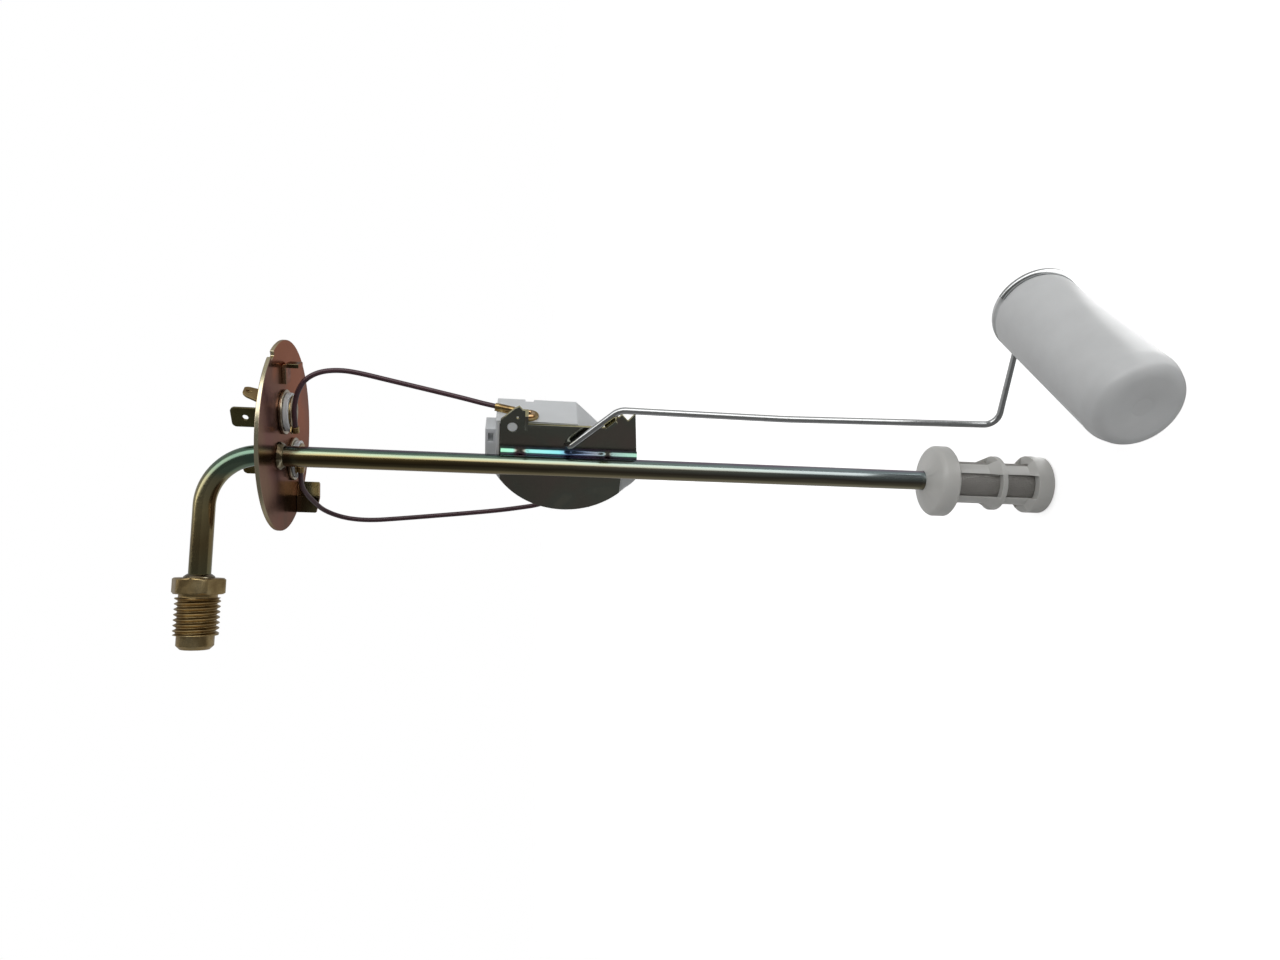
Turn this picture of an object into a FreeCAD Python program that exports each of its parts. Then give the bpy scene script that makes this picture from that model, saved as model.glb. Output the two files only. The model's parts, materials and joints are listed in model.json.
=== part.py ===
import FreeCAD, Part
import math
import os
import Sketcher

# Fuel level sender with suction tube, in millimetres.
# The origin is the centre of the flange's tank side. +Z points up, out of the tank.
# +X is the side that the float arm rises on, and the bracket's front looks along -Y.

Vector = FreeCAD.Vector

SIZES = {
    # mounting flange
    "flange_radius": 28.2,
    "flange_thickness": 1.2,
    "notch_width": 3.0,
    "notch_depth": 1.4,
    "notch_offset": -2.5,
    # suction tube
    "tube_radius": 3.0,
    "tube_wall": 1.0,
    "tube_x": -1.3,
    "tube_y": -9.1,
    "tube_drop": 201.5,
    "elbow_radius": 15.0,
    "leg_height": 19.7,
    "leg_angle": 38.6,
    "leg_length": 46.0,
    "braze_clearance": 0.1,
    "bead_width": 1.5,
    "bead_height": 1.8,
    # outlet union
    "union_overlap": 10.5,
    "union_bead": 1.2,
    "hex_width": 13.0,
    "collar_radius": 7.2,
    "collar_length": 4.5,
    "collar_chamfer": 0.8,
    "relief_radius": 5.1,
    "relief_length": 1.0,
    "thread_radius": 6.0,
    "thread_pitch": 1.5,
    "thread_depth": 0.85,
    "thread_turns": 7.0,
    "thread_flank": 0.42,
    "thread_land": 0.08,
    "nose_radius": 4.95,
    "nose_length": 4.0,
    "nose_taper": 1.1,
    "seat_radius": 3.2,
    # centring tabs
    "tab_width": 5.0,
    "tab_thickness": 1.2,
    "tab_height": 6.5,
    "upper_tab_gap": 0.6,
    "upper_tab_angle": 18.2,
    "upper_tab_foot": 6.0,
    "lower_tab_gap": 0.3,
    "lower_tab_angle": 159.1,
    "lower_tab_foot": 4.8,
    # insulated terminals
    "upper_terminal_x": 7.7,
    "upper_terminal_y": 0.8,
    "lower_terminal_x": -10.3,
    "lower_terminal_y": 3.4,
    "cup_radius": 6.6,
    "cup_height": 0.9,
    "insulator_radius": 5.7,
    "insulator_height": 1.5,
    "insulator_shank_radius": 3.6,
    "shank_clearance": 0.1,
    "outer_insulator_radius": 4.8,
    "outer_insulator_height": 2.0,
    "outer_insulator_edge": 0.4,
    "rivet_radius": 1.5,
    "rivet_clearance": 0.03,
    "rivet_head_radius": 2.4,
    "rivet_head_height": 0.5,
    "rivet_crown": 1.7,
    "washer_radius": 4.9,
    "washer_thickness": 0.4,
    "tag_width": 2.2,
    "barrel_radius": 1.05,
    "barrel_length": 1.8,
    "blade_width": 6.3,
    "blade_thickness": 0.8,
    "blade_height": 13.7,
    "blade_offset": 4.3,
    "blade_hole_radius": 0.85,
    "blade_hole_drop": 3.95,
    "blade_corner": 1.3,
    "earth_radius": 12.4,
    "earth_angle": -9.1,
    "earth_foot": 6.0,
    "earth_rise": 8.1,
    "earth_lean": 22.6,
    "dimple_radius": 0.7,
    "dimple_depth": 0.3,
    "dimple_drop": 1.5,
    # bracket plate
    "plate_thickness": 1.0,
    "plate_top": 11.0,
    "plate_step": -5.0,
    "plate_inset": 1.4,
    "plate_edge_gap": 0.5,
    "shoulder_drop": 17.1,
    "plate_foot_drop": 21.4,
    "ear_left_x": 12.2,
    "ear_tip_x": 16.1,
    "ear_tip_drop": 4.1,
    "ear_crown_x": 16.9,
    "ear_crown_drop": 5.4,
    "lip_width": 4.7,
    "lip_drop": 8.1,
    "lip_reach": 3.4,
    "lip_shoulder": 1.7,
    "peg_hole_x": 9.9,
    "peg_hole_drop": 3.5,
    "peg_hole_radius": 1.6,
    "pin_hole_x": 13.2,
    "pin_hole_drop": 5.0,
    "pin_hole_radius": 0.4,
    "stop_start": 13.4,
    "stop_end": 17.5,
    "stop_reach": 4.6,
    "stop_clearance": 0.05,
    "notch_left_x": 15.7,
    "notch_left_z": -98.4,
    "notch_foot_x": 13.6,
    "notch_foot_z": -100.4,
    "notch_right_x": 16.2,
    "notch_right_z": -102.4,
    "notch_corner_x": 0.2,
    "seam_length": 12.0,
    "seam_height": 1.9,
    "seam_setback": 0.3,
    "seam_upper_z": -66.0,
    "seam_lower_z": -88.0,
    # pivot and float arm
    "pivot_x": 4.6,
    "pivot_z": -82.9,
    "wire_radius": 1.0,
    "running_clearance": 0.05,
    "arm_gap": 1.14,
    "arm_angle": 45.8,
    "arm_crank": 19.9,
    "shaft_depth": 14.7,
    "shaft_bend": 2.2,
    "crank_bend": 5.0,
    "arm_bow_x": 18.1,
    "arm_bow_z": -147.0,
    "bow_bend": 200.0,
    "arm_foot_x": 19.6,
    "arm_foot_z": -214.3,
    "foot_bend": 4.0,
    "riser_bend": 1.8,
    "riser_run": 1.9,
    "ring_angle": 236.0,
    # float
    "float_radius": 12.1,
    "float_x": 56.39,
    "float_z": -213.5,
    "float_near": -63.4,
    "float_far": -3.2,
    "near_rounding": 5.5,
    "far_rounding": 6.5,
    "groove_width": 2.2,
    "groove_clearance": 0.1,
    "recess_radius": 3.0,
    "recess_depth": 0.6,
    # sender housing
    "housing_rise": 6.9,
    "housing_shelf": 3.1,
    "housing_chamfer_drop": 2.6,
    "housing_chamfer_angle": 62.8,
    "housing_radius": 24.5,
    "housing_depth": 13.6,
    "housing_wall": 1.2,
    "boss_radius": 3.0,
    "boss_height": 2.4,
    "bore_depth": 2.2,
    "end_clearance": 0.1,
    "peg_post_radius": 2.7,
    "peg_clearance": 0.08,
    "rear_notch_width": 2.5,
    "rear_notch_depth": 1.0,
    "rear_notch_drop": 9.7,
    "lug_top": 7.0,
    "lug_bottom": -3.0,
    "lug_reach": 3.2,
    "lug_front": -2.6,
    "lug_width": 7.0,
    "lug_slot": 3.0,
    "lug_slot_inset": 1.5,
    "lug_margin": 0.8,
    "seat_width": 8.0,
    "seat_drop": 4.6,
    "seat_y": 1.5,
    "seat_depth": 0.9,
    # resistance and wiper
    "card_gap": 5.5,
    "card_width": 4.0,
    "card_thickness": 1.0,
    "card_angle": 53.0,
    "winding_thickness": 0.4,
    "winding_angle": 48.0,
    "winding_margin": 1.0,
    "hub_radius": 4.2,
    "hub_play": 0.3,
    "spigot_radius": 2.2,
    "spigot_length": 1.2,
    "spring_thickness": 0.4,
    "spring_width": 4.0,
    "spring_root": 0.8,
    "spring_tip": 1.0,
    "spring_gap": 0.3,
    "contact_thickness": 0.4,
    "contact_width": 2.8,
    "contact_start": -18.0,
    "contact_end": 48.0,
    "contact_gap": 0.4,
    "contact_finger_angle": 1.2,
    # ring terminals
    "eyelet_radius": 2.9,
    "eyelet_thickness": 0.7,
    "eyelet_neck": 4.6,
    "upper_eyelet_length": 10.5,
    "small_rivet_radius": 1.0,
    "small_head_radius": 1.9,
    "small_head_height": 0.7,
    "small_rivet_crown": 1.15,
    "upper_eyelet_y": -2.0,
    "upper_eyelet_drop": 9.6,
    "upper_eyelet_angle": 18.8,
    "lower_eyelet_length": 5.2,
    "lower_eyelet_angle": 8.0,
    # strainer
    "strainer_overlap": 5.9,
    "strainer_collar_radius": 11.1,
    "strainer_collar_length": 8.0,
    "strainer_dome_radius": 9.3,
    "strainer_dome_drop": 2.0,
    "strainer_shoulder_drop": 3.6,
    "strainer_rounding": 2.6,
    "strainer_radius": 7.2,
    "strainer_wall": 0.75,
    "upper_window_length": 14.8,
    "ramp_length": 3.5,
    "mid_ring_radius": 8.6,
    "mid_ring_length": 1.6,
    "lower_window_length": 10.2,
    "cap_ramp_length": 1.8,
    "cap_radius": 9.1,
    "cap_length": 5.4,
    "cap_rounding": 0.8,
    "cap_wall": 1.5,
    "mouth_margin": 0.3,
    "strainer_fit": 0.03,
    "window_count": 4.0,
    "window_angle": 26.0,
    "window_half_width": 3.6,
    "mesh_thickness": 0.3,
    "mesh_gap": 0.05,
    # leads
    "lead_radius": 0.75,
    "lead_bend_share": 0.45,
}

# Centre lines of the two leads, chosen by hand along their routes. The first points are
# measured from the contact under the rivet, and the last from the ring terminal's mouth.
UPPER_LEAD = {
    "contact": [(-2.7, -3.8, -1.3), (2.0, -3.2, -1.25), (5.2, -1.8, -1.7)],
    "free": [
        (15.7, 0.0, -5.0), (18.6, 1.5, -6.9), (20.45, 3.0, -10.9), (20.7, 4.0, -16.3),
        (19.7, 4.6, -21.6), (17.9, 5.0, -28.5), (15.0, 5.0, -41.5),
    ],
    "mouth": [(0.65, 2.816, 9.66), (0.0, 1.161, 3.41), (0.0, 0.0, 0.0)],
}
LOWER_LEAD = {
    "contact": [(-0.1, -6.8, -1.3), (-3.3, -7.3, -1.0), (-7.76, -6.4, -1.5)],
    "free": [
        (-23.5, -1.0, -6.1), (-28.0, 1.0, -8.2), (-32.1, 3.0, -13.8), (-33.45, 4.0, -21.3),
        (-33.0, 5.0, -30.7), (-31.7, 5.0, -40.3), (-29.9, 5.0, -53.2), (-28.4, 5.0, -62.9),
    ],
    "mouth": [(-5.25, 2.776, 12.95), (-2.75, 1.176, 6.95), (0.0, 0.436, 3.11), (0.0, 0.0, 0.0)],
}


class Size:
    """A length or an angle: its number, and the same thing as an expression on the sheet."""

    def __init__(self, number, text):
        self.number = number
        self.text = text

    def __add__(self, other):
        other = as_size(other)
        return Size(self.number + other.number, f"({self.text} + {other.text})")

    def __radd__(self, other):
        return as_size(other) + self

    def __sub__(self, other):
        other = as_size(other)
        return Size(self.number - other.number, f"({self.text} - {other.text})")

    def __rsub__(self, other):
        return as_size(other) - self

    def __mul__(self, other):
        other = as_size(other)
        return Size(self.number * other.number, f"({self.text} * {other.text})")

    def __rmul__(self, other):
        return as_size(other) * self

    def __truediv__(self, other):
        other = as_size(other)
        return Size(self.number / other.number, f"({self.text} / {other.text})")

    def __neg__(self):
        return Size(-self.number, f"(-1 * {self.text})")


def as_size(value):
    if isinstance(value, Size):
        return value
    return Size(float(value), f"({value})")


def cosine(angle):
    angle = as_size(angle)
    return Size(math.cos(math.radians(angle.number)), f"cos({angle.text} * 1 deg)")


def sine(angle):
    angle = as_size(angle)
    return Size(math.sin(math.radians(angle.number)), f"sin({angle.text} * 1 deg)")


def tangent(angle):
    angle = as_size(angle)
    return Size(math.tan(math.radians(angle.number)), f"tan({angle.text} * 1 deg)")


def root(value):
    value = as_size(value)
    return Size(math.sqrt(value.number), f"sqrt({value.text})")


doc = FreeCAD.newDocument("FuelLevelSender")
sheet = doc.addObject("Spreadsheet::Sheet", "Sizes")
for row, (alias, number) in enumerate(SIZES.items(), start=1):
    sheet.set(f"A{row}", alias.replace("_", " "))
    sheet.set(f"B{row}", str(number))
    sheet.setAlias(f"B{row}", alias)
doc.recompute()


def size(alias):
    return Size(float(sheet.get(alias)), f"Sizes.{alias}")


def place(part, x=0, y=0, z=0, rotation=None):
    """Puts a sub-part at x, y, z, bound to the sheet, with a fixed turn."""
    x, y, z = as_size(x), as_size(y), as_size(z)
    turn = rotation if rotation is not None else FreeCAD.Rotation()
    part.Placement = FreeCAD.Placement(Vector(x.number, y.number, z.number), turn)
    part.setExpression("Placement.Base.x", x.text)
    part.setExpression("Placement.Base.y", y.text)
    part.setExpression("Placement.Base.z", z.text)


def new_body(node):
    body = doc.addObject("PartDesign::Body", node)
    body.Label = node
    return body


def origin_feature(body, role):
    return [feature for feature in body.Origin.OriginFeatures if feature.Role == role][0]


def sketch_on(body, role, name, offset=0):
    """A sketch on one of the body's own planes, moved along the plane's normal.

    The normals are +Z for XY_Plane, -Y for XZ_Plane and +X for YZ_Plane.
    """
    plane = origin_feature(body, role)
    sketch = body.newObject("Sketcher::SketchObject", name)
    sketch.AttachmentSupport = [(plane, "")]
    sketch.MapMode = "FlatFace"
    offset = as_size(offset)
    sketch.AttachmentOffset = FreeCAD.Placement(Vector(0, 0, offset.number), FreeCAD.Rotation())
    sketch.setExpression("AttachmentOffset.Base.z", offset.text)
    return sketch


def fix_point(sketch, geometry, point, x, y):
    """Dimensions one point of a piece of geometry from the sketch's origin."""
    for kind, value in (("DistanceX", as_size(x)), ("DistanceY", as_size(y))):
        index = sketch.addConstraint(Sketcher.Constraint(kind, -1, 1, geometry, point, value.number))
        sketch.setExpression(f"Constraints[{index}]", value.text)


def fix_radius(sketch, geometry, radius):
    index = sketch.addConstraint(Sketcher.Constraint("Radius", geometry, radius.number))
    sketch.setExpression(f"Constraints[{index}]", radius.text)


def arc_through(start, end, radius, left):
    """The shorter arc from start to end that bends to the left, or else to the right."""
    middle = (start + end) / 2
    half = (end - start).Length / 2
    across = Vector(0, 0, 1).cross(end - start).normalize()
    side = 1 if left else -1
    centre = middle + across * side * math.sqrt(radius * radius - half * half)
    crown = centre - across * side * radius
    return Part.Arc(start, crown, end)


def outline(sketch, vertices, closed=True):
    """Lines and arcs from vertex to vertex.

    A vertex is (x, y), or (x, y, radius, left) where an arc goes on to the next one.
    """
    points = [(as_size(vertex[0]), as_size(vertex[1])) for vertex in vertices]
    places = [Vector(x.number, y.number, 0) for x, y in points]
    last = len(vertices) if closed else len(vertices) - 1
    edges = []
    for index in range(last):
        start = places[index]
        end = places[(index + 1) % len(places)]
        vertex = vertices[index]
        if len(vertex) == 2:
            edge = sketch.addGeometry(Part.LineSegment(start, end), False)
            edges.append((edge, 1, 2))
        else:
            radius = as_size(vertex[2])
            arc = arc_through(start, end, radius.number, vertex[3])
            edge = sketch.addGeometry(arc, False)
            ends = (1, 2) if vertex[3] else (2, 1)
            edges.append((edge, ends[0], ends[1]))
    for index, (edge, first, second) in enumerate(edges):
        fix_point(sketch, edge, first, *points[index])
        if closed or index + 1 < len(edges):
            after = edges[(index + 1) % len(edges)]
            sketch.addConstraint(Sketcher.Constraint("Coincident", edge, second, after[0], after[1]))
        else:
            fix_point(sketch, edge, second, *points[index + 1])
        if len(vertices[index]) > 2:
            fix_radius(sketch, edge, as_size(vertices[index][2]))


def circle(sketch, x, y, radius):
    x, y, radius = as_size(x), as_size(y), as_size(radius)
    centre = Vector(x.number, y.number, 0)
    edge = sketch.addGeometry(Part.Circle(centre, Vector(0, 0, 1), radius.number), False)
    fix_point(sketch, edge, 3, x, y)
    fix_radius(sketch, edge, radius)


def box_outline(sketch, x_low, x_high, y_low, y_high):
    outline(sketch, [(x_low, y_low), (x_high, y_low), (x_high, y_high), (x_low, y_high)])


def pad(body, sketch, length, name, reverse=False):
    feature = body.newObject("PartDesign::Pad", name)
    feature.Profile = sketch
    feature.Reversed = reverse
    feature.Length = as_size(length).number
    feature.setExpression("Length", as_size(length).text)
    return feature


def cut(body, sketch, length, name, reverse=False):
    """A pocket that goes against the sketch's normal, or along it when reversed."""
    doc.recompute()
    before = body.Shape.Volume
    feature = body.newObject("PartDesign::Pocket", name)
    feature.Profile = sketch
    feature.Reversed = reverse
    feature.Length = as_size(length).number
    feature.setExpression("Length", as_size(length).text)
    doc.recompute()
    if not body.Shape.Volume < before:
        raise RuntimeError(f"{body.Label}: {name} cuts nothing")
    return feature


def revolve(body, sketch, axis, name):
    feature = body.newObject("PartDesign::Revolution", name)
    feature.Profile = sketch
    feature.ReferenceAxis = (sketch, [axis])
    feature.Angle = 360
    return feature


def groove(body, sketch, axis, name):
    doc.recompute()
    feature = body.newObject("PartDesign::Groove", name)
    feature.Profile = sketch
    feature.ReferenceAxis = (sketch, [axis])
    feature.Angle = 360
    return feature


# Sizes that several sub-parts share
plate_front = size("tube_y") + size("tube_radius")
plate_back = plate_front + size("plate_thickness")
arm_plane = plate_front - size("arm_gap") - size("wire_radius")
pivot_x = size("pivot_x")
pivot_z = size("pivot_z")
tube_x = size("tube_x")
tube_y = size("tube_y")
tube_radius = size("tube_radius")
tube_bore = tube_radius - size("tube_wall")
wire_radius = size("wire_radius")
housing_wall = size("housing_wall")
rear_wall = plate_back + size("housing_depth") - housing_wall
boss_front = rear_wall - size("boss_height")
hub_front = plate_back + size("hub_play")
hub_rear = boss_front - size("hub_play") - size("spigot_length")
housing_radius = size("housing_radius")
housing_top = pivot_x + size("housing_rise")
housing_left = pivot_z + housing_radius - size("housing_shelf")
plate_left = housing_left - size("plate_inset")
lip_face = plate_left - size("lip_drop")
peg_z = plate_left - size("peg_hole_drop")
seat_z = pivot_z - size("seat_drop")
seat_x = pivot_x - housing_radius - size("seat_depth")
card_outer = housing_radius - size("card_gap")
card_inner = card_outer - size("card_width")
spring_reach = (card_inner + card_outer) / 2
leg_turn = FreeCAD.Rotation(Vector(0, 0, 1), size("leg_angle").number)
arm_turn = FreeCAD.Rotation(Vector(0, 1, 0), size("arm_angle").number)


def about_pivot(radius, angle):
    """X and Z of a point at a radius from the pivot, its angle from -X towards +Z."""
    return pivot_x - radius * cosine(angle), pivot_z + radius * sine(angle)


def along_arm(reach, across):
    """X and Z of a point along the arm's crank at rest, and across it on the stop's side."""
    angle = size("arm_angle")
    x = pivot_x + reach * cosine(angle) - across * sine(angle)
    z = pivot_z - reach * sine(angle) - across * cosine(angle)
    return x, z


def make_flange():
    body = new_body("mounting_flange")
    disc = sketch_on(body, "XY_Plane", "FlangeDisc")
    circle(disc, 0, 0, size("flange_radius"))
    circle(disc, tube_x, tube_y, tube_radius + size("braze_clearance"))
    shank_hole = size("insulator_shank_radius") + size("shank_clearance")
    circle(disc, size("upper_terminal_x"), size("upper_terminal_y"), shank_hole)
    circle(disc, size("lower_terminal_x"), size("lower_terminal_y"), shank_hole)
    pad(body, disc, size("flange_thickness"), "FlangePad")
    notch = sketch_on(body, "XY_Plane", "LocatingNotch", size("flange_thickness"))
    half = size("notch_width") / 2
    middle = size("notch_offset")
    inner = size("flange_radius") - size("notch_depth")
    outer = size("flange_radius") + size("notch_depth")
    box_outline(notch, inner, outer, middle - half, middle + half)
    cut(body, notch, size("flange_thickness"), "NotchCut")
    place(body)


def make_tab(side):
    """A bent tab: its foot is spot-welded to the flange and its upright centres the neck.

    The foot starts a gap outside the terminal's sealing cup.
    """
    body = new_body(f"centring_tab_{side}")
    profile = sketch_on(body, "XZ_Plane", f"TabProfile_{side}", -size("tab_width") / 2)
    thick = size("tab_thickness")
    foot = size(f"{side}_tab_foot")
    angle = size(f"{side}_tab_angle")
    terminal = size(f"{side}_terminal_x") * cosine(angle) + size(f"{side}_terminal_y") * sine(angle)
    reach = terminal + size("cup_radius") + size(f"{side}_tab_gap") + foot
    height = size("tab_height")
    bend = thick
    outline(profile, [
        (reach - foot, 0), (reach - foot, -thick), (reach - thick, -thick), (reach - thick, -height),
        (reach, -height), (reach, -bend, bend, True), (reach - bend, 0),
    ])
    pad(body, profile, size("tab_width"), f"TabPad_{side}")
    turn = FreeCAD.Rotation(Vector(0, 0, 1), size(f"{side}_tab_angle").number)
    place(body, rotation=turn)


def make_suction_tube():
    """One drawn tube: a straight drop, an elbow over the flange and the outlet leg."""
    body = new_body("suction_tube")
    bend = size("elbow_radius")
    height = size("leg_height")
    path = sketch_on(body, "XZ_Plane", "TubePath")
    outline(path, [
        (0, -size("tube_drop")), (0, height - bend, bend, True), (-bend, height),
        (-size("leg_length"), height),
    ], closed=False)
    section = sketch_on(body, "XY_Plane", "TubeSection", -size("tube_drop"))
    circle(section, 0, 0, tube_radius)
    circle(section, 0, 0, tube_bore)
    pipe = body.newObject("PartDesign::AdditivePipe", "TubePipe")
    pipe.Profile = section
    pipe.Spine = path
    place(body, tube_x, tube_y, 0, leg_turn)


def make_braze_ring():
    body = new_body("braze_ring")
    bead = sketch_on(body, "XZ_Plane", "BeadProfile")
    outline(bead, [
        (tube_radius, 0), (tube_radius, -size("bead_height")),
        (tube_radius + size("bead_width"), 0),
    ])
    revolve(body, bead, "V_Axis", "BeadTurn")
    place(body, tube_x, tube_y, 0)


def make_union():
    """Turned from hexagon bar: collar, relief, thread and nose, bored for the tube."""
    body = new_body("outlet_union")
    start = size("leg_length") - size("union_overlap")
    collar_end = start + size("collar_length")
    relief_end = collar_end + size("relief_length")
    thread_end = relief_end + size("thread_pitch") * size("thread_turns")
    nose_end = thread_end + size("nose_length")
    chamfer = size("collar_chamfer")
    collar = size("collar_radius")
    thread = size("thread_radius")
    nose = size("nose_radius")
    taper = size("nose_taper")
    tube_end = size("leg_length")
    socket = tube_radius + size("running_clearance")
    profile = sketch_on(body, "XZ_Plane", "UnionProfile")
    outline(profile, [
        (-start, socket), (-start, collar - chamfer), (-(start + chamfer / 2), collar),
        (-(collar_end - chamfer / 2), collar), (-collar_end, collar - chamfer),
        (-collar_end, size("relief_radius")), (-relief_end, size("relief_radius")),
        (-relief_end, thread), (-thread_end, thread), (-thread_end, nose),
        (-(nose_end - taper), nose), (-nose_end, nose - taper),
        (-nose_end, size("seat_radius")), (-(nose_end - taper), tube_bore),
        (-tube_end, tube_bore), (-tube_end, socket),
    ])
    revolve(body, profile, "H_Axis", "UnionTurn")
    hexagon = sketch_on(body, "YZ_Plane", "HexagonFlats", -collar_end)
    half = size("hex_width") / 2
    corners = []
    for step in range(6):
        angle = 60.0 * step
        corner = half / cosine(30.0)
        corners.append((corner * cosine(angle), corner * sine(angle)))
    outline(hexagon, corners)
    circle(hexagon, 0, 0, collar + chamfer)
    cut(body, hexagon, size("collar_length"), "HexagonCut", reverse=True)
    root_radius = thread - size("thread_depth")
    turn = sketch_on(body, "XZ_Plane", "ThreadGroove")
    pitch = size("thread_pitch")
    first = relief_end + pitch / 2
    mouth = pitch * size("thread_flank")
    land = pitch * size("thread_land")
    crest = thread + size("running_clearance")
    outline(turn, [
        (-(first - mouth), crest), (-(first - land), root_radius),
        (-(first + land), root_radius), (-(first + mouth), crest),
    ])
    cut_turn = groove(body, turn, "H_Axis", "ThreadTurn")
    doc.recompute()
    turns = body.newObject("PartDesign::LinearPattern", "ThreadTurns")
    turns.Originals = [cut_turn]
    turns.Direction = (turn, ["H_Axis"])
    turns.Reversed = True
    turns.Occurrences = int(size("thread_turns").number)
    turns.setExpression("Occurrences", "Sizes.thread_turns")
    turns.Length = (pitch * (size("thread_turns") - 1)).number
    turns.setExpression("Length", (pitch * (size("thread_turns") - 1)).text)
    body.Tip = turns
    place(body, tube_x, tube_y, size("leg_height"), leg_turn)


def make_union_braze():
    body = new_body("union_braze_ring")
    start = size("leg_length") - size("union_overlap")
    bead = sketch_on(body, "XZ_Plane", "UnionBead")
    outline(bead, [
        (-(start - size("union_bead")), tube_radius), (-start, tube_radius),
        (-start, tube_radius + size("union_bead")),
    ])
    revolve(body, bead, "H_Axis", "UnionBeadTurn")
    place(body, tube_x, tube_y, size("leg_height"), leg_turn)


def make_insulators(side):
    """A sealing cup and a moulded bush under the flange, and a second bush on top."""
    plate = size("flange_thickness")
    shank = size("insulator_shank_radius")
    cup_height = size("cup_height")
    bore = size("rivet_radius") + size("rivet_clearance")
    x, y = size(f"{side}_terminal_x"), size(f"{side}_terminal_y")
    cup = new_body(f"seal_cup_{side}")
    ring = sketch_on(cup, "XY_Plane", f"CupRing_{side}")
    circle(ring, 0, 0, size("cup_radius"))
    circle(ring, 0, 0, shank + size("shank_clearance"))
    pad(cup, ring, cup_height, f"CupPad_{side}", reverse=True)
    place(cup, x, y, 0)
    inner = new_body(f"inner_insulator_{side}")
    face = cup_height + size("insulator_height")
    profile = sketch_on(inner, "XZ_Plane", f"InnerBush_{side}")
    outline(profile, [
        (bore, plate), (bore, -face), (size("insulator_radius"), -face),
        (size("insulator_radius"), -cup_height), (shank, -cup_height), (shank, plate),
    ])
    revolve(inner, profile, "V_Axis", f"InnerBushTurn_{side}")
    place(inner, x, y, 0)
    outer = new_body(f"outer_insulator_{side}")
    top = plate + size("outer_insulator_height")
    disc = sketch_on(outer, "XZ_Plane", f"OuterBush_{side}")
    rim = size("outer_insulator_radius")
    edge = size("outer_insulator_edge")
    outline(disc, [(bore, plate), (rim, plate), (rim, top - edge), (rim - edge, top), (bore, top)])
    revolve(outer, disc, "V_Axis", f"OuterBushTurn_{side}")
    place(outer, x, y, 0)


def round_tip(body, role, offset, top, name, reverse):
    """Takes the two upper corners off a blade, leaving arcs of the blade's corner size."""
    half = size("blade_width") / 2
    corner = size("blade_corner")
    for sign, end in ((-1, "left"), (1, "right")):
        nick = sketch_on(body, role, f"{name}_{end}", offset)
        outline(nick, [
            (sign * (half - corner), top), (sign * half, top),
            (sign * half, top - corner, corner, sign > 0),
        ])
        cut(body, nick, size("blade_height"), f"{name}_{end}_cut", reverse=reverse)


def make_terminal_blade(side):
    """A flat connector blade bent up from a foot that the rivet holds."""
    body = new_body(f"terminal_blade_{side}")
    thick = size("blade_thickness")
    offset = size("blade_offset")
    low = size("flange_thickness") + size("outer_insulator_height")
    top = size("blade_height")
    half = size("blade_width") / 2
    back = size("rivet_head_radius") + thick
    profile = sketch_on(body, "YZ_Plane", f"BladeProfile_{side}", -half)
    outline(profile, [
        (back, low), (-offset, low), (-offset, top), (thick - offset, top),
        (thick - offset, low + thick), (back, low + thick),
    ])
    pad(body, profile, size("blade_width"), f"BladePad_{side}")
    hole = sketch_on(body, "XZ_Plane", f"BladeHole_{side}", offset)
    circle(hole, 0, top - size("blade_hole_drop"), size("blade_hole_radius"))
    cut(body, hole, thick, f"BladeHoleCut_{side}")
    seat = sketch_on(body, "XY_Plane", f"BladeSeat_{side}", low + thick)
    circle(seat, 0, 0, size("rivet_radius") + size("rivet_clearance"))
    cut(body, seat, thick, f"BladeSeatCut_{side}")
    round_tip(body, "XZ_Plane", offset, top, f"BladeCorner_{side}", False)
    place(body, size(f"{side}_terminal_x"), size(f"{side}_terminal_y"), 0)


def make_terminal_rivet(side):
    body = new_body(f"terminal_rivet_{side}")
    shank = size("rivet_radius")
    head = size("rivet_head_radius")
    crown = size("rivet_crown")
    high = size("rivet_head_height")
    low = -(size("cup_height") + size("insulator_height") + size("washer_thickness"))
    top = size("flange_thickness") + size("outer_insulator_height") + size("blade_thickness")
    profile = sketch_on(body, "XZ_Plane", f"RivetProfile_{side}")
    outline(profile, [
        (0, low - high), (crown, low - high), (head, low - high / 2), (head, low), (shank, low),
        (shank, top), (head, top), (head, top + high / 2), (crown, top + high), (0, top + high),
    ])
    revolve(body, profile, "V_Axis", f"RivetTurn_{side}")
    place(body, size(f"{side}_terminal_x"), size(f"{side}_terminal_y"), 0)


def contact_centre(side):
    """Where the rivet's axis meets the inner bush's face, and the contact washer lies."""
    face = -(size("cup_height") + size("insulator_height")).number
    return Vector(size(f"{side}_terminal_x").number, size(f"{side}_terminal_y").number, face)


def barrel_mouth(side):
    """The centre of the ring terminal's barrel at its open end, where the lead goes in."""
    grip = size("barrel_radius")
    lean = math.radians(size(f"{side}_eyelet_angle").number)
    run = size(f"{side}_eyelet_length").number
    along = Vector(0, math.sin(lean), math.cos(lean)) * run
    if side == "upper":
        z = housing_left - size("upper_eyelet_drop")
        return Vector((housing_top + grip).number, size("upper_eyelet_y").number, z.number) + along
    return Vector((seat_x - grip).number, size("seat_y").number, seat_z.number) + along


def lead_points(side, route):
    """The whole route in the part's frame: from the contact, free, and to the terminal."""
    points = [contact_centre(side) + Vector(*offset) for offset in route["contact"]]
    points += [Vector(*point) for point in route["free"]]
    points += [barrel_mouth(side) + Vector(*offset) for offset in route["mouth"]]
    return points


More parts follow.
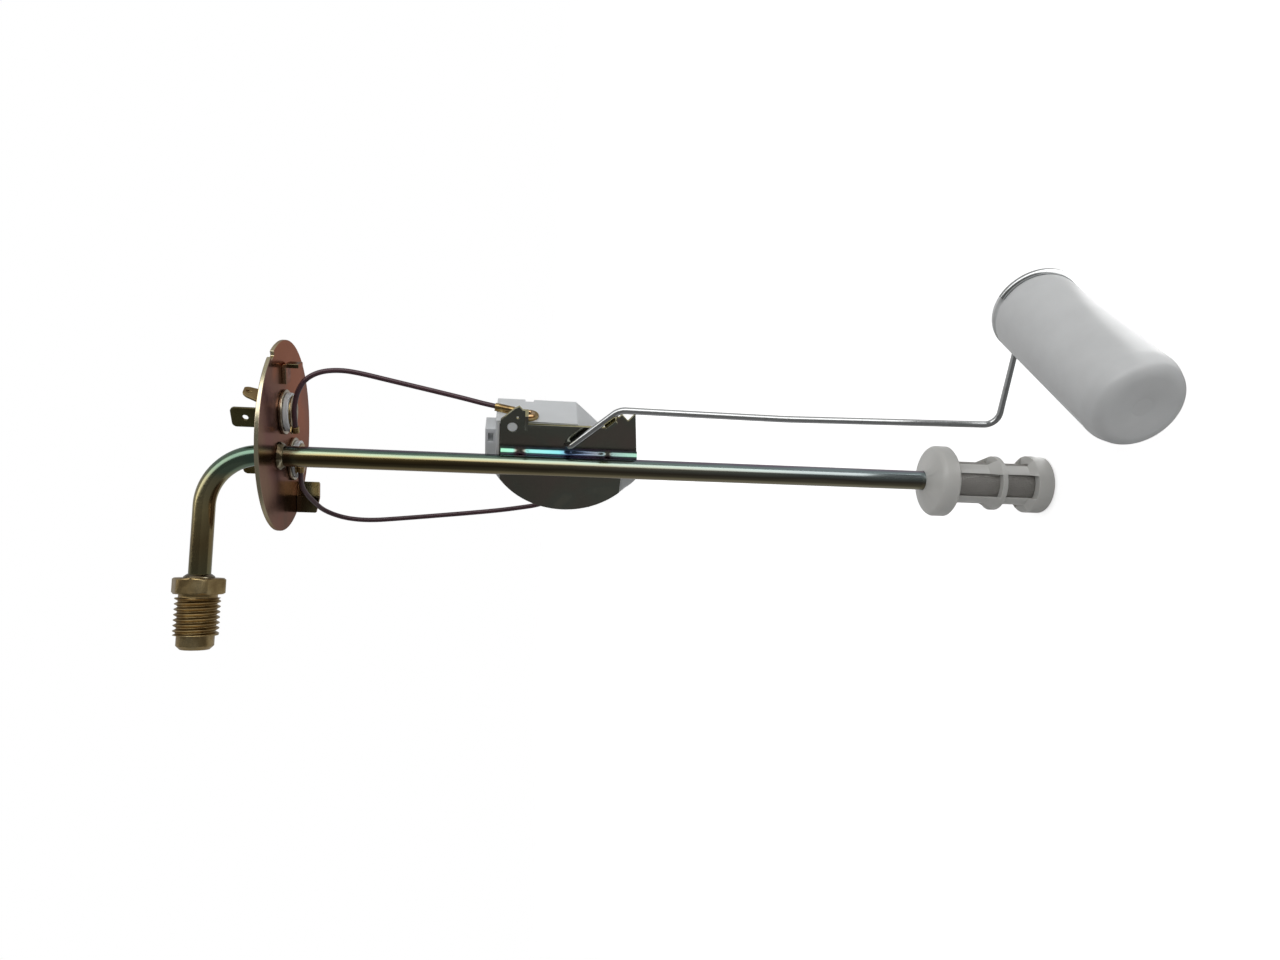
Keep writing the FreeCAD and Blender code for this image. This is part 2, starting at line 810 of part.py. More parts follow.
def make_contact_washer(side, points):
    """The washer under the rivet's inner head, with a tag whose barrel grips the lead.

    The barrel lies in line with the lead's first run, and the lead starts at its face.
    """
    thick = size("washer_thickness").number
    half = size("tag_width").number / 2
    barrel = size("barrel_length").number
    centre = contact_centre(side)
    down = Vector(0, 0, -1)
    start = points[0]
    heading = (points[1] - start).normalize()
    aim = start - heading * (barrel / 2) - centre
    aim.z = 0
    away = Vector(aim).normalize()
    across = down.cross(away) * half
    near = centre + away * (size("washer_radius").number - half)
    far = centre + aim + away * half
    corners = [near - across, far - across, far + across, near + across, near - across]
    tag = Part.Face(Part.makePolygon(corners)).extrude(down * thick)
    ring = Part.makeCylinder(size("washer_radius").number, thick, centre, down)
    crimp = Part.makeCylinder(size("barrel_radius").number, barrel, start - heading * barrel, heading)
    hole_radius = (size("rivet_radius") + size("rivet_clearance")).number
    hole = Part.makeCylinder(hole_radius, thick, centre, down)
    code_part(f"contact_washer_{side}", ring.cut(hole).fuse([tag, crimp]).removeSplitter())


def make_earth_blade():
    """A blade leaning outwards from a foot that is spot-welded to the flange."""
    body = new_body("earth_blade")
    thick = size("blade_thickness")
    low = size("flange_thickness")
    lean = size("earth_lean")
    half = size("blade_width") / 2
    shift = size("earth_rise") * tangent(lean)
    slant = thick / cosine(lean)
    high = low + size("earth_rise")
    inner = size("earth_radius")
    foot = inner + size("earth_foot")
    bend = inner + slant + thick * tangent(lean)
    profile = sketch_on(body, "XZ_Plane", "EarthProfile", -half)
    outline(profile, [
        (inner, low), (foot, low), (foot, low + thick), (bend, low + thick),
        (inner + shift + slant, high), (inner + shift, high),
    ])
    pad(body, profile, size("blade_width"), "EarthPad")
    dimple_z = high - size("dimple_drop")
    face = inner + slant + (dimple_z - low) * tangent(lean) - size("dimple_depth")
    dimple = sketch_on(body, "YZ_Plane", "EarthDimple", face)
    circle(dimple, 0, dimple_z, size("dimple_radius"))
    cut(body, dimple, slant, "EarthDimpleCut", reverse=True)
    round_tip(body, "YZ_Plane", foot, high, "EarthCorner", False)
    turn = FreeCAD.Rotation(Vector(0, 0, 1), size("earth_angle").number)
    place(body, rotation=turn)


def make_bracket_plate():
    """One stamped sheet: ears, holes, a folded low stop and a folded full stop."""
    body = new_body("bracket_plate")
    thick = size("plate_thickness")
    top = size("plate_top")
    left = plate_left
    right = pivot_z - size("plate_foot_drop")
    shoulder = pivot_z - size("shoulder_drop")
    step = size("plate_step")
    curve = housing_radius - size("plate_edge_gap")
    lip_top = top + size("lip_width")
    ear_tip_z = left - size("ear_tip_drop")
    ear_crown_z = left - size("ear_crown_drop")
    stop_side = wire_radius + size("stop_clearance")
    start_x, start_z = along_arm(size("stop_start"), stop_side)
    end_x, end_z = along_arm(size("stop_end"), stop_side)
    foot_x, foot_z = along_arm(size("stop_end"), stop_side + 2 * thick)
    meet = (start_x - top) / sine(size("arm_angle"))
    meet_z = start_z - meet * cosine(size("arm_angle"))
    curve_right_x = pivot_x - root(curve * curve - (shoulder - pivot_z) * (shoulder - pivot_z))
    curve_left_x = pivot_x - root(curve * curve - (left - pivot_z) * (left - pivot_z))
    face = sketch_on(body, "XZ_Plane", "PlateOutline", -plate_back)
    outline(face, [
        (curve_left_x, left), (size("ear_left_x"), left), (size("ear_tip_x"), ear_tip_z),
        (size("ear_crown_x"), ear_crown_z), (lip_top, lip_face + size("lip_shoulder")),
        (lip_top, lip_face), (top, lip_face), (top, meet_z), (start_x, start_z), (end_x, end_z),
        (foot_x, foot_z),
        (size("notch_left_x"), size("notch_left_z")), (size("notch_foot_x"), size("notch_foot_z")),
        (size("notch_right_x"), size("notch_right_z")), (size("notch_corner_x"), right), (step, right),
        (step, shoulder), (curve_right_x, shoulder, curve, False),
    ])
    circle(face, size("peg_hole_x"), peg_z, size("peg_hole_radius"))
    circle(face, size("pin_hole_x"), left - size("pin_hole_drop"), size("pin_hole_radius"))
    circle(face, pivot_x, pivot_z, wire_radius + size("running_clearance"))
    pad(body, face, thick, "PlatePad")
    lip = sketch_on(body, "XZ_Plane", "FullStopLip", -plate_back)
    box_outline(lip, top, lip_top, lip_face, lip_face + thick)
    pad(body, lip, thick + size("lip_reach"), "FullStopPad")
    tongue = sketch_on(body, "XZ_Plane", "LowStopTongue", -plate_back)
    under_start = along_arm(size("stop_start"), stop_side + thick)
    under_end = along_arm(size("stop_end"), stop_side + thick)
    outline(tongue, [(start_x, start_z), (end_x, end_z), under_end, under_start])
    pad(body, tongue, thick + size("stop_reach"), "LowStopPad")
    place(body)


def make_braze_seams():
    """Two short fillets of braze in the crease below the tube, against the plate."""
    body = new_body("braze_seams")
    low = size("seam_height")
    near = tube_radius / 3
    gap_near = tube_radius - root(tube_radius * tube_radius - near * near)
    far = near + low - size("seam_setback")
    gap_far = tube_radius - root(tube_radius * tube_radius - far * far)
    for name in ("upper", "lower"):
        seam = sketch_on(body, "XY_Plane", f"Seam_{name}", size(f"seam_{name}_z"))
        outline(seam, [
            (-near, tube_radius), (-(near + low), tube_radius),
            (-far, tube_radius - gap_far, tube_radius, False), (-near, tube_radius - gap_near),
        ])
        pad(body, seam, size("seam_length"), f"SeamPad_{name}", reverse=True)
        doc.recompute()
    place(body, tube_x, tube_y, 0)


def make_sender_housing():
    """A moulded shell, open towards the plate, that carries the resistance and the shaft."""
    body = new_body("sender_housing")
    top = housing_top
    left = housing_left
    radius = housing_radius
    wall = housing_wall
    arc_left_x = pivot_x - root(radius * radius - (left - pivot_z) * (left - pivot_z))
    chamfer_x, chamfer_z = about_pivot(radius, -size("housing_chamfer_angle"))
    face = sketch_on(body, "XZ_Plane", "HousingOutline", -plate_back)
    outline(face, [
        (arc_left_x, left), (top, left), (top, pivot_z - size("housing_chamfer_drop")),
        (chamfer_x, chamfer_z, radius, False),
    ])
    block = pad(body, face, size("housing_depth"), "HousingPad", reverse=True)
    doc.recompute()
    front = min(range(len(block.Shape.Faces)), key=lambda i: block.Shape.Faces[i].CenterOfMass.y)
    shell = body.newObject("PartDesign::Thickness", "HousingShell")
    shell.Base = (block, [f"Face{front + 1}"])
    shell.Value = wall.number
    shell.setExpression("Value", wall.text)
    shell.Reversed = 1
    shell.Mode = 0
    shell.Join = 0
    doc.recompute()
    boss = sketch_on(body, "XZ_Plane", "BearingBoss", -rear_wall)
    circle(boss, pivot_x, pivot_z, size("boss_radius"))
    pad(body, boss, size("boss_height"), "BearingBossPad")
    bore = sketch_on(body, "XZ_Plane", "BearingBore", -boss_front)
    circle(bore, pivot_x, pivot_z, wire_radius + size("running_clearance"))
    cut(body, bore, size("bore_depth"), "BearingBoreCut")
    post = sketch_on(body, "XZ_Plane", "PegPost", -rear_wall)
    circle(post, size("peg_hole_x"), peg_z, size("peg_post_radius"))
    pad(body, post, rear_wall - plate_back, "PegPostPad")
    doc.recompute()
    spill = sketch_on(body, "XZ_Plane", "PostTrim", -(rear_wall + wall))
    post_radius = size("peg_post_radius")
    box_outline(spill, top, top + post_radius, peg_z - post_radius, peg_z + post_radius)
    cut(body, spill, size("housing_depth"), "PostTrimCut", reverse=True)
    peg = sketch_on(body, "XZ_Plane", "Peg", -plate_back)
    circle(peg, size("peg_hole_x"), peg_z, size("peg_hole_radius") - size("peg_clearance"))
    pad(body, peg, size("plate_thickness"), "PegPad")
    doc.recompute()
    notch = sketch_on(body, "XZ_Plane", "RearNotch", -(rear_wall + wall))
    notch_z = left - size("rear_notch_drop")
    half = size("rear_notch_width") / 2
    depth = size("rear_notch_depth")
    box_outline(notch, top - depth, top + depth, notch_z - half, notch_z + half)
    cut(body, notch, wall, "RearNotchCut", reverse=True)
    lug = sketch_on(body, "XY_Plane", "CornerLug", left)
    front_y = size("lug_front")
    box_outline(lug, size("lug_bottom"), size("lug_top"), front_y, front_y + size("lug_width"))
    pad(body, lug, size("lug_reach"), "CornerLugPad")
    slot = sketch_on(body, "XZ_Plane", "LugSlot", -front_y)
    slot_high = size("lug_top") - size("lug_slot_inset")
    margin = size("lug_margin")
    box_outline(
        slot, slot_high - size("lug_slot"), slot_high, left + margin, left + size("lug_reach") - margin,
    )
    cut(body, slot, size("lug_width"), "LugSlotCut")
    seat = sketch_on(body, "YZ_Plane", "TerminalSeat", seat_x)
    half_seat = size("seat_width") / 2
    box_outline(
        seat, size("seat_y") - half_seat, size("seat_y") + half_seat,
        seat_z - half_seat, seat_z + half_seat,
    )
    pad(body, seat, size("seat_depth") + wall, "TerminalSeatPad")
    doc.recompute()
    hole_radius = size("small_rivet_radius") + size("rivet_clearance")
    upper = sketch_on(body, "YZ_Plane", "UpperRivetHole", top)
    circle(upper, size("upper_eyelet_y"), left - size("upper_eyelet_drop"), hole_radius)
    cut(body, upper, wall, "UpperRivetHoleCut")
    lower = sketch_on(body, "YZ_Plane", "LowerRivetHole", seat_x)
    circle(lower, size("seat_y"), seat_z, hole_radius)
    cut(body, lower, size("seat_depth") + 2 * wall, "LowerRivetHoleCut", reverse=True)
    place(body)


def sector(sketch, inner, outer, low_angle, high_angle):
    """A ring sector about the pivot, its angles measured from -X towards +Z."""
    outer_low = about_pivot(outer, low_angle)
    outer_high = about_pivot(outer, high_angle)
    inner_high = about_pivot(inner, high_angle)
    inner_low = about_pivot(inner, low_angle)
    middle = (as_size(low_angle) + as_size(high_angle)) / 2
    outer_mid = about_pivot(outer, middle)
    inner_mid = about_pivot(inner, middle)
    outline(sketch, [
        (outer_low[0], outer_low[1], outer, False), (outer_mid[0], outer_mid[1], outer, False), outer_high,
        (inner_high[0], inner_high[1], inner, True), (inner_mid[0], inner_mid[1], inner, True), inner_low,
    ])


def make_resistance():
    """A flat curved card, and the wire wound round it."""
    wire = size("winding_thickness")
    card_rear = rear_wall - wire
    card_front = card_rear - size("card_thickness")
    angle = size("card_angle")
    card = new_body("resistance_card")
    face = sketch_on(card, "XZ_Plane", "CardSector", -card_rear)
    sector(face, card_inner, card_outer, -angle, angle)
    pad(card, face, size("card_thickness"), "CardPad")
    place(card)
    wound = new_body("resistance_winding")
    span = size("winding_angle")
    wrap = sketch_on(wound, "XZ_Plane", "WindingSector", -rear_wall)
    sector(wrap, card_inner - wire, card_outer + wire, -span, span)
    pad(wound, wrap, size("card_thickness") + 2 * wire, "WindingPad")
    hollow = sketch_on(wound, "XZ_Plane", "WindingHollow", -card_front)
    beyond = span + size("winding_margin")
    sector(hollow, card_inner, card_outer, -beyond, beyond)
    cut(wound, hollow, size("card_thickness"), "WindingHollowCut")
    place(wound)


def make_contact_strip():
    """The reserve contact: a strip on the curved wall with a finger at the empty end."""
    body = new_body("contact_strip")
    outer = housing_radius - housing_wall
    thick = size("contact_thickness")
    inner = outer - thick
    start = size("contact_start")
    end = size("contact_end")
    width = size("contact_width")
    low = size("seat_y") - width / 2
    strip = sketch_on(body, "XZ_Plane", "ContactStrip", -(low + width))
    sector(strip, inner, outer, start, end)
    pad(body, strip, width, "ContactStripPad")
    finger = sketch_on(body, "XZ_Plane", "ContactFinger", -(low + width))
    tip = spring_reach + size("contact_gap")
    thin = end - size("contact_finger_angle")
    base = inner + thick / 2
    outline(finger, [
        about_pivot(tip, end), about_pivot(base, end), about_pivot(base, thin), about_pivot(tip, thin),
    ])
    pad(body, finger, width, "ContactFingerPad")
    doc.recompute()
    hole = sketch_on(body, "YZ_Plane", "ContactHole", pivot_x - outer - thick)
    circle(hole, size("seat_y"), seat_z, size("small_rivet_radius") + size("rivet_clearance"))
    cut(body, hole, width, "ContactHoleCut", reverse=True)
    place(body)


def make_wiper():
    """The hub pressed on the arm's shaft, and the spring that sweeps the winding."""
    press = size("rivet_clearance")
    hub = new_body("wiper_hub")
    bore = wire_radius + press
    end = hub_rear + size("spigot_length")
    profile = sketch_on(hub, "XY_Plane", "HubProfile")
    outline(profile, [
        (bore, hub_front), (size("hub_radius"), hub_front), (size("hub_radius"), hub_rear),
        (size("spigot_radius"), hub_rear), (size("spigot_radius"), end), (bore, end),
    ])
    revolve(hub, profile, "V_Axis", "HubTurn")
    place(hub, pivot_x, 0, pivot_z, arm_turn)
    spring = new_body("wiper_spring")
    thick = size("spring_thickness")
    reach = spring_reach
    half = size("spring_width") / 2
    winding_front = rear_wall - size("card_thickness") - 2 * size("winding_thickness")
    touch = winding_front - size("spring_gap")
    flat_end = card_inner / 2
    eye = sketch_on(spring, "XZ_Plane", "SpringEye", -hub_rear)
    circle(eye, 0, 0, size("hub_radius") - press)
    circle(eye, 0, 0, size("spigot_radius") + press)
    pad(spring, eye, thick, "SpringEyePad", reverse=True)
    blade = sketch_on(spring, "XY_Plane", "SpringBlade", -half)
    inner = size("hub_radius") - size("spring_root")
    tip = reach - size("spring_tip")
    outline(blade, [
        (-inner, hub_rear), (-flat_end, hub_rear), (-tip, touch - thick), (-reach, touch - 2 * thick),
        (-reach, touch - thick), (-tip, touch), (-flat_end, hub_rear + thick), (-inner, hub_rear + thick),
    ])
    pad(spring, blade, size("spring_width"), "SpringBladePad")
    place(spring, pivot_x, 0, pivot_z, arm_turn)


def make_ring_terminal(side, x, y, z, turn, length):
    """An eyelet under a rivet head, with a neck and a crimped barrel."""
    body = new_body(f"ring_terminal_{side}")
    thick = size("eyelet_thickness")
    neck = size("eyelet_neck") if side == "upper" else size("eyelet_radius")
    face = sketch_on(body, "XY_Plane", f"Eyelet_{side}")
    circle(face, 0, 0, size("eyelet_radius"))
    circle(face, 0, 0, size("small_rivet_radius") + size("rivet_clearance"))
    pad(body, face, thick, f"EyeletPad_{side}")
    strip = sketch_on(body, "XY_Plane", f"EyeletNeck_{side}")
    half = size("tag_width") / 2
    box_outline(strip, size("eyelet_radius") - half, length, -half, half)
    pad(body, strip, thick / 2, f"EyeletNeckPad_{side}")
    barrel = sketch_on(body, "YZ_Plane", f"EyeletBarrel_{side}", neck)
    circle(barrel, 0, size("barrel_radius"), size("barrel_radius"))
    pad(body, barrel, length - neck, f"EyeletBarrelPad_{side}")
    place(body, x, y, z, turn)
    rivet = new_body(f"ring_rivet_{side}")
    head = size("small_head_radius")
    high = size("small_head_height")
    shank = size("small_rivet_radius")
    under = housing_wall
    if side == "lower":
        strip = housing_radius - housing_wall - size("contact_thickness")
        rise = size("seat_drop") + head
        under = housing_radius + size("seat_depth") - root(strip * strip - rise * rise)
    profile = sketch_on(rivet, "XZ_Plane", f"SmallRivet_{side}")
    outline(profile, [
        (0, -under - high), (head, -under - high), (head, -under), (shank, -under), (shank, thick),
        (head, thick), (head, thick + high / 2), (size("small_rivet_crown"), thick + high),
        (0, thick + high),
    ])
    revolve(rivet, profile, "V_Axis", f"SmallRivetTurn_{side}")
    place(rivet, x, y, z, turn)


def make_ring_terminals():
    for side, x, y, z, out in (
        ("upper", housing_top, size("upper_eyelet_y"), housing_left - size("upper_eyelet_drop"), 1),
        ("lower", seat_x, size("seat_y"), seat_z, -1),
    ):
        lean = math.radians(size(f"{side}_eyelet_angle").number)
        along = Vector(0, math.sin(lean), math.cos(lean))
        outward = Vector(out, 0, 0)
        turn = FreeCAD.Rotation(along, outward.cross(along), outward)
        make_ring_terminal(side, x, y, z, turn, size(f"{side}_eyelet_length"))


def make_float():
    """A closed moulded float, turned about Y, with a groove for the wire ring."""
    body = new_body("float")
    radius = size("float_radius")
    near = size("float_near")
    far = size("float_far")
    near_round = size("near_rounding")
    far_round = size("far_rounding")
    half = size("groove_width") / 2
    groove_bottom = radius - 2 * wire_radius - size("groove_clearance")
    low = arm_plane - half
    high = arm_plane + half
    arc_y = far - far_round
    arc_x = radius - far_round
    low_x = arc_x + root(far_round * far_round - (low - arc_y) * (low - arc_y))
    high_x = arc_x + root(far_round * far_round - (high - arc_y) * (high - arc_y))
    dish = size("recess_depth")
    profile = sketch_on(body, "XY_Plane", "FloatProfile")
    outline(profile, [
        (0, near + dish), (size("recess_radius"), near + dish), (size("recess_radius") + dish, near),
        (radius - near_round, near, near_round, True), (radius, near + near_round),
        (radius, arc_y, far_round, True), (low_x, low), (groove_bottom, low), (groove_bottom, high),
        (high_x, high, far_round, True), (arc_x, far), (0, far),
    ])
    revolve(body, profile, "V_Axis", "FloatTurn")
    place(body, size("float_x"), 0, size("float_z"))


def make_strainer():
    """A moulded strainer: domed collar on the tube's end, windowed cage and closed end cap.

    The posts between the windows flare up to the middle ring and to the cap.
    """
    body = new_body("strainer_body")
    tube_end = -size("tube_drop")
    top = tube_end + size("strainer_overlap")
    collar = size("strainer_collar_radius")
    collar_end = top - size("strainer_collar_length")
    dome = size("strainer_dome_radius")
    dome_z = top - size("strainer_dome_drop")
    shoulder_z = top - size("strainer_shoulder_drop")
    rounding = size("strainer_rounding")
    edge = size("cap_rounding")
    cage = size("strainer_radius")
    ring = size("mid_ring_radius")
    ring_top = collar_end - size("upper_window_length")
    ring_end = ring_top - size("mid_ring_length")
    cap = size("cap_radius")
    cap_top = ring_end - size("lower_window_length")
    bottom = cap_top - size("cap_length")
    bore = tube_radius + size("strainer_fit")
    inner = cage - size("strainer_wall")
    floor = bottom + size("cap_wall")
    mouth = tube_bore + size("mouth_margin")
    profile = sketch_on(body, "XZ_Plane", "StrainerProfile")
    outline(profile, [
        (bore, top), (dome, dome_z, rounding, False), (collar, shoulder_z), (collar, collar_end + edge),
        (collar - edge, collar_end), (cage, collar_end), (cage, ring_top + size("ramp_length")),
        (ring, ring_top), (ring, ring_end), (cage, ring_end), (cage, cap_top + size("cap_ramp_length")),
        (cap, cap_top), (cap, bottom + edge, edge, False), (cap - edge, bottom), (0, bottom), (0, floor),
        (inner, floor), (inner, collar_end), (mouth, collar_end + edge),
        (mouth, tube_end - size("end_clearance")), (bore, tube_end - size("end_clearance")),
    ])
    revolve(body, profile, "V_Axis", "StrainerTurn")
    half = size("window_half_width")
    windows = []
    for name, high, low in (("top", collar_end, ring_top), ("bottom", ring_end, cap_top)):
        window = sketch_on(body, "XZ_Plane", f"Window_{name}")
        box_outline(window, -half, half, low, high)
        windows.append(cut(body, window, collar, f"WindowCut_{name}"))
    doc.recompute()
    cage_windows = body.newObject("PartDesign::PolarPattern", "CageWindows")
    cage_windows.Originals = windows
    cage_windows.Axis = (origin_feature(body, "Z_Axis"), [""])
    cage_windows.Angle = 360
    cage_windows.Occurrences = int(size("window_count").number)
    cage_windows.setExpression("Occurrences", "Sizes.window_count")
    body.Tip = cage_windows
    place(body, tube_x, tube_y, 0, FreeCAD.Rotation(Vector(0, 0, 1), size("window_angle").number))
    mesh = new_body("strainer_mesh")
    outer = inner - size("mesh_gap")
    sleeve = sketch_on(mesh, "XY_Plane", "MeshSleeve", floor)
    circle(sleeve, 0, 0, outer)
    circle(sleeve, 0, 0, outer - size("mesh_thickness"))
    pad(mesh, sleeve, collar_end - floor, "MeshPad")
    place(mesh, tube_x, tube_y, 0)


def rounded_path(points, radii):
    """Straight runs joined by tangent arcs, and the length of it all."""
    edges = []
    start = points[0]
    for index in range(1, len(points) - 1):
        corner = points[index]
        back = (points[index - 1] - corner).normalize()
        ahead = (points[index + 1] - corner).normalize()
        half_turn = (math.pi - back.getAngle(ahead)) / 2
        cut_back = radii[index - 1] * math.tan(half_turn)
        enter = corner + back * cut_back
        leave = corner + ahead * cut_back
        inward = (back + ahead).normalize()
        crown_gap = radii[index - 1] / math.cos(half_turn) - radii[index - 1]
        edges.append(Part.LineSegment(start, enter).toShape())
        edges.append(Part.Arc(enter, corner + inward * crown_gap, leave).toShape())
        start = leave
    edges.append(Part.LineSegment(start, points[-1]).toShape())
    return edges


def tube_solid(edges, radius):
    spine = Part.Wire(edges)
    first = edges[0]
    start = first.valueAt(first.FirstParameter)
    heading = first.tangentAt(first.FirstParameter)
    ring = Part.Wire([Part.makeCircle(radius, start, heading)])
    solid = spine.makePipeShell([ring], True, False)
    expected = math.pi * radius * radius * spine.Length
    share = solid.Volume / expected
    print(f"length {spine.Length:.1f} mm, volume share {share:.4f}")
    return solid


def code_part(node, shape):
    part = doc.addObject("Part::Feature", node)
    part.Label = node
    part.Shape = shape
    part.Placement = FreeCAD.Placement()
    return part


def make_lead(node, points):
    """A thin lead whose arcs are as large as its runs allow."""
    radii = []
    share = size("lead_bend_share").number
    for index in range(1, len(points) - 1):
        before = points[index] - points[index - 1]
        after = points[index + 1] - points[index]
        half_turn = before.getAngle(after) / 2
        radii.append(share * min(before.Length, after.Length) / math.tan(half_turn))
    print(node, "radii", [round(radius, 1) for radius in radii])
    print([tuple(round(value, 3) for value in point) for point in points])
    return code_part(node, tube_solid(rounded_path(points, radii), size("lead_radius").number))


def make_float_arm():
    """One bent wire: shaft, crank, long reach, riser and the ring that clips in the float."""
    plane = arm_plane.number
    crank_x, crank_z = along_arm(size("arm_crank"), 0)
    ring = size("float_radius").number - wire_radius.number
    centre = Vector(size("float_x").number, plane, size("float_z").number)
    ring_start = centre - Vector(ring, 0, 0)
    corner = ring_start + Vector(0, 0, size("riser_run").number)
    points = [
        Vector(pivot_x.number, plane + size("shaft_depth").number, pivot_z.number),
        Vector(pivot_x.number, plane, pivot_z.number),
        Vector(crank_x.number, plane, crank_z.number),
        Vector(size("arm_bow_x").number, plane, size("arm_bow_z").number),
        Vector(size("arm_foot_x").number, plane, size("arm_foot_z").number),
        corner,
        ring_start,
    ]
    names = ("shaft_bend", "crank_bend", "bow_bend", "foot_bend", "riser_bend")
    bends = [size(name).number for name in names]
    edges = rounded_path(points, bends)
    sweep = math.radians(size("ring_angle").number)
    places = []
    for share in (0.5, 1.0):
        turn = sweep * share
        places.append(centre + Vector(-ring * math.cos(turn), 0, -ring * math.sin(turn)))
    edges.append(Part.Arc(ring_start, places[0], places[1]).toShape())
    code_part("float_arm", tube_solid(edges, wire_radius.number))


make_flange()
make_tab("upper")
make_tab("lower")
make_suction_tube()
make_braze_ring()
make_union()
make_union_braze()
for terminal, lead in (("upper", UPPER_LEAD), ("lower", LOWER_LEAD)):
    make_insulators(terminal)
    make_terminal_blade(terminal)
    make_terminal_rivet(terminal)
    make_contact_washer(terminal, lead_points(terminal, lead))
make_earth_blade()
make_bracket_plate()
make_braze_seams()
make_sender_housing()
make_resistance()
make_contact_strip()
make_wiper()
make_ring_terminals()
make_float_arm()
make_float()
make_strainer()
make_lead("upper_lead", lead_points("upper", UPPER_LEAD))
make_lead("lower_lead", lead_points("lower", LOWER_LEAD))
doc.recompute()

parts = [item for item in doc.Objects if item.TypeId in ("PartDesign::Body", "Part::Feature")]
for item in doc.Objects:
    if "Invalid" in item.State or "Error" in item.State:
        raise RuntimeError(f"{item.Label} failed: {item.State}")
for part in parts:
    if part.Shape.isNull() or not part.Shape.isValid():
        raise RuntimeError(f"{part.Label} has no valid shape")

os.makedirs("parts", exist_ok=True)
for part in parts:
    part.Shape.exportStep(os.path.join("parts", f"{part.Label}.step"))
    print(part.Label, len(part.Shape.Solids), round(part.Shape.Volume, 2))
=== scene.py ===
import json
import math

import bmesh
import bpy
import numpy as np
from mathutils import Matrix, Vector

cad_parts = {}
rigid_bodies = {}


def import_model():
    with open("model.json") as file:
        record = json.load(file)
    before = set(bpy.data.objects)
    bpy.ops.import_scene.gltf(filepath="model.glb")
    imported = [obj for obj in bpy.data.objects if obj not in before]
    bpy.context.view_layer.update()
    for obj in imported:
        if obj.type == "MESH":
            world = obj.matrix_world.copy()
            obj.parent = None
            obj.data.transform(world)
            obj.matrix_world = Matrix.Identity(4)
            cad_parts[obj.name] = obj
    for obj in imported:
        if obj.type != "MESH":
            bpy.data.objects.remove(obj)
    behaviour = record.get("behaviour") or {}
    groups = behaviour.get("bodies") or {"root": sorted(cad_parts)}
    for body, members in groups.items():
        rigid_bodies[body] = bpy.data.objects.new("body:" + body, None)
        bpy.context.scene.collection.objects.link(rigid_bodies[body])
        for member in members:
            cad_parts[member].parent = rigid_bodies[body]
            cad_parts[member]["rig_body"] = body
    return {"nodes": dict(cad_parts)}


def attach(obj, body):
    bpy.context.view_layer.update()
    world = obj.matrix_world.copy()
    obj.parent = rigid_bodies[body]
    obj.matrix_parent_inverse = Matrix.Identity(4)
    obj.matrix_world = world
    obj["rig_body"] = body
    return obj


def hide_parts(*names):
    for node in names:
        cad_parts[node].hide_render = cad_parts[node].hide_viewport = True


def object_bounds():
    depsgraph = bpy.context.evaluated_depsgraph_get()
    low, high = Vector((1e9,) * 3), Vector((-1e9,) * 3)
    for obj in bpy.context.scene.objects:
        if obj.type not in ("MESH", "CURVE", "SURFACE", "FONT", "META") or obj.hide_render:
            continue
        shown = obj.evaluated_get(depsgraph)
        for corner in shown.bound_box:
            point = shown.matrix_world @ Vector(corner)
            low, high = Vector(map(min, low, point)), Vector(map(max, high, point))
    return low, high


# Fuel level sender with suction tube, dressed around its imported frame.
# Sizes below are in millimetres and become metres in the meshes.

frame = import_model()
cad_low, cad_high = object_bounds()

MM = 0.001
TURN = 2 * math.pi

TUBE_X, TUBE_Y = -1.3, -9.1
TUBE_RADIUS, TUBE_BORE = 3.0, 2.0
LEG_ANGLE = math.radians(38.6)
LEG_HEIGHT, LEG_LENGTH, ELBOW_RADIUS = 19.7, 46.0, 15.0
TUBE_DROP = 201.5
PLATE_FRONT, PLATE_BACK = -6.1, -5.1
ARM_PLANE = -8.24
PIVOT_X, PIVOT_Z = 4.6, -82.9
ARM_ANGLE = math.radians(45.8)
FLOAT_X, FLOAT_Z = 56.39, -213.5
WIRE_RING, WIRE_GROOVE = 12.4, 0.75
REAR_WALL = 7.3
STEP_ENDS = (-104.1, -63.1)
SHAFT_DEPTH = 14.7
CARD_INNER, CARD_OUTER = 15.0, 19.0
CAGE_TOP, CAGE_FLOOR = -203.6, -234.1
DENTS = ((-68.8, 1.6, 1.3), (-95.2, 0.8, 0.8))  # place down the plate, half the width where the painted teal reflection is broken, width of the hollow
REFLECTION_BAND_X, REFLECTION_BAND_Y = 0.83, 0.56  # the way across the tube that its painted reflection and highlight bands follow
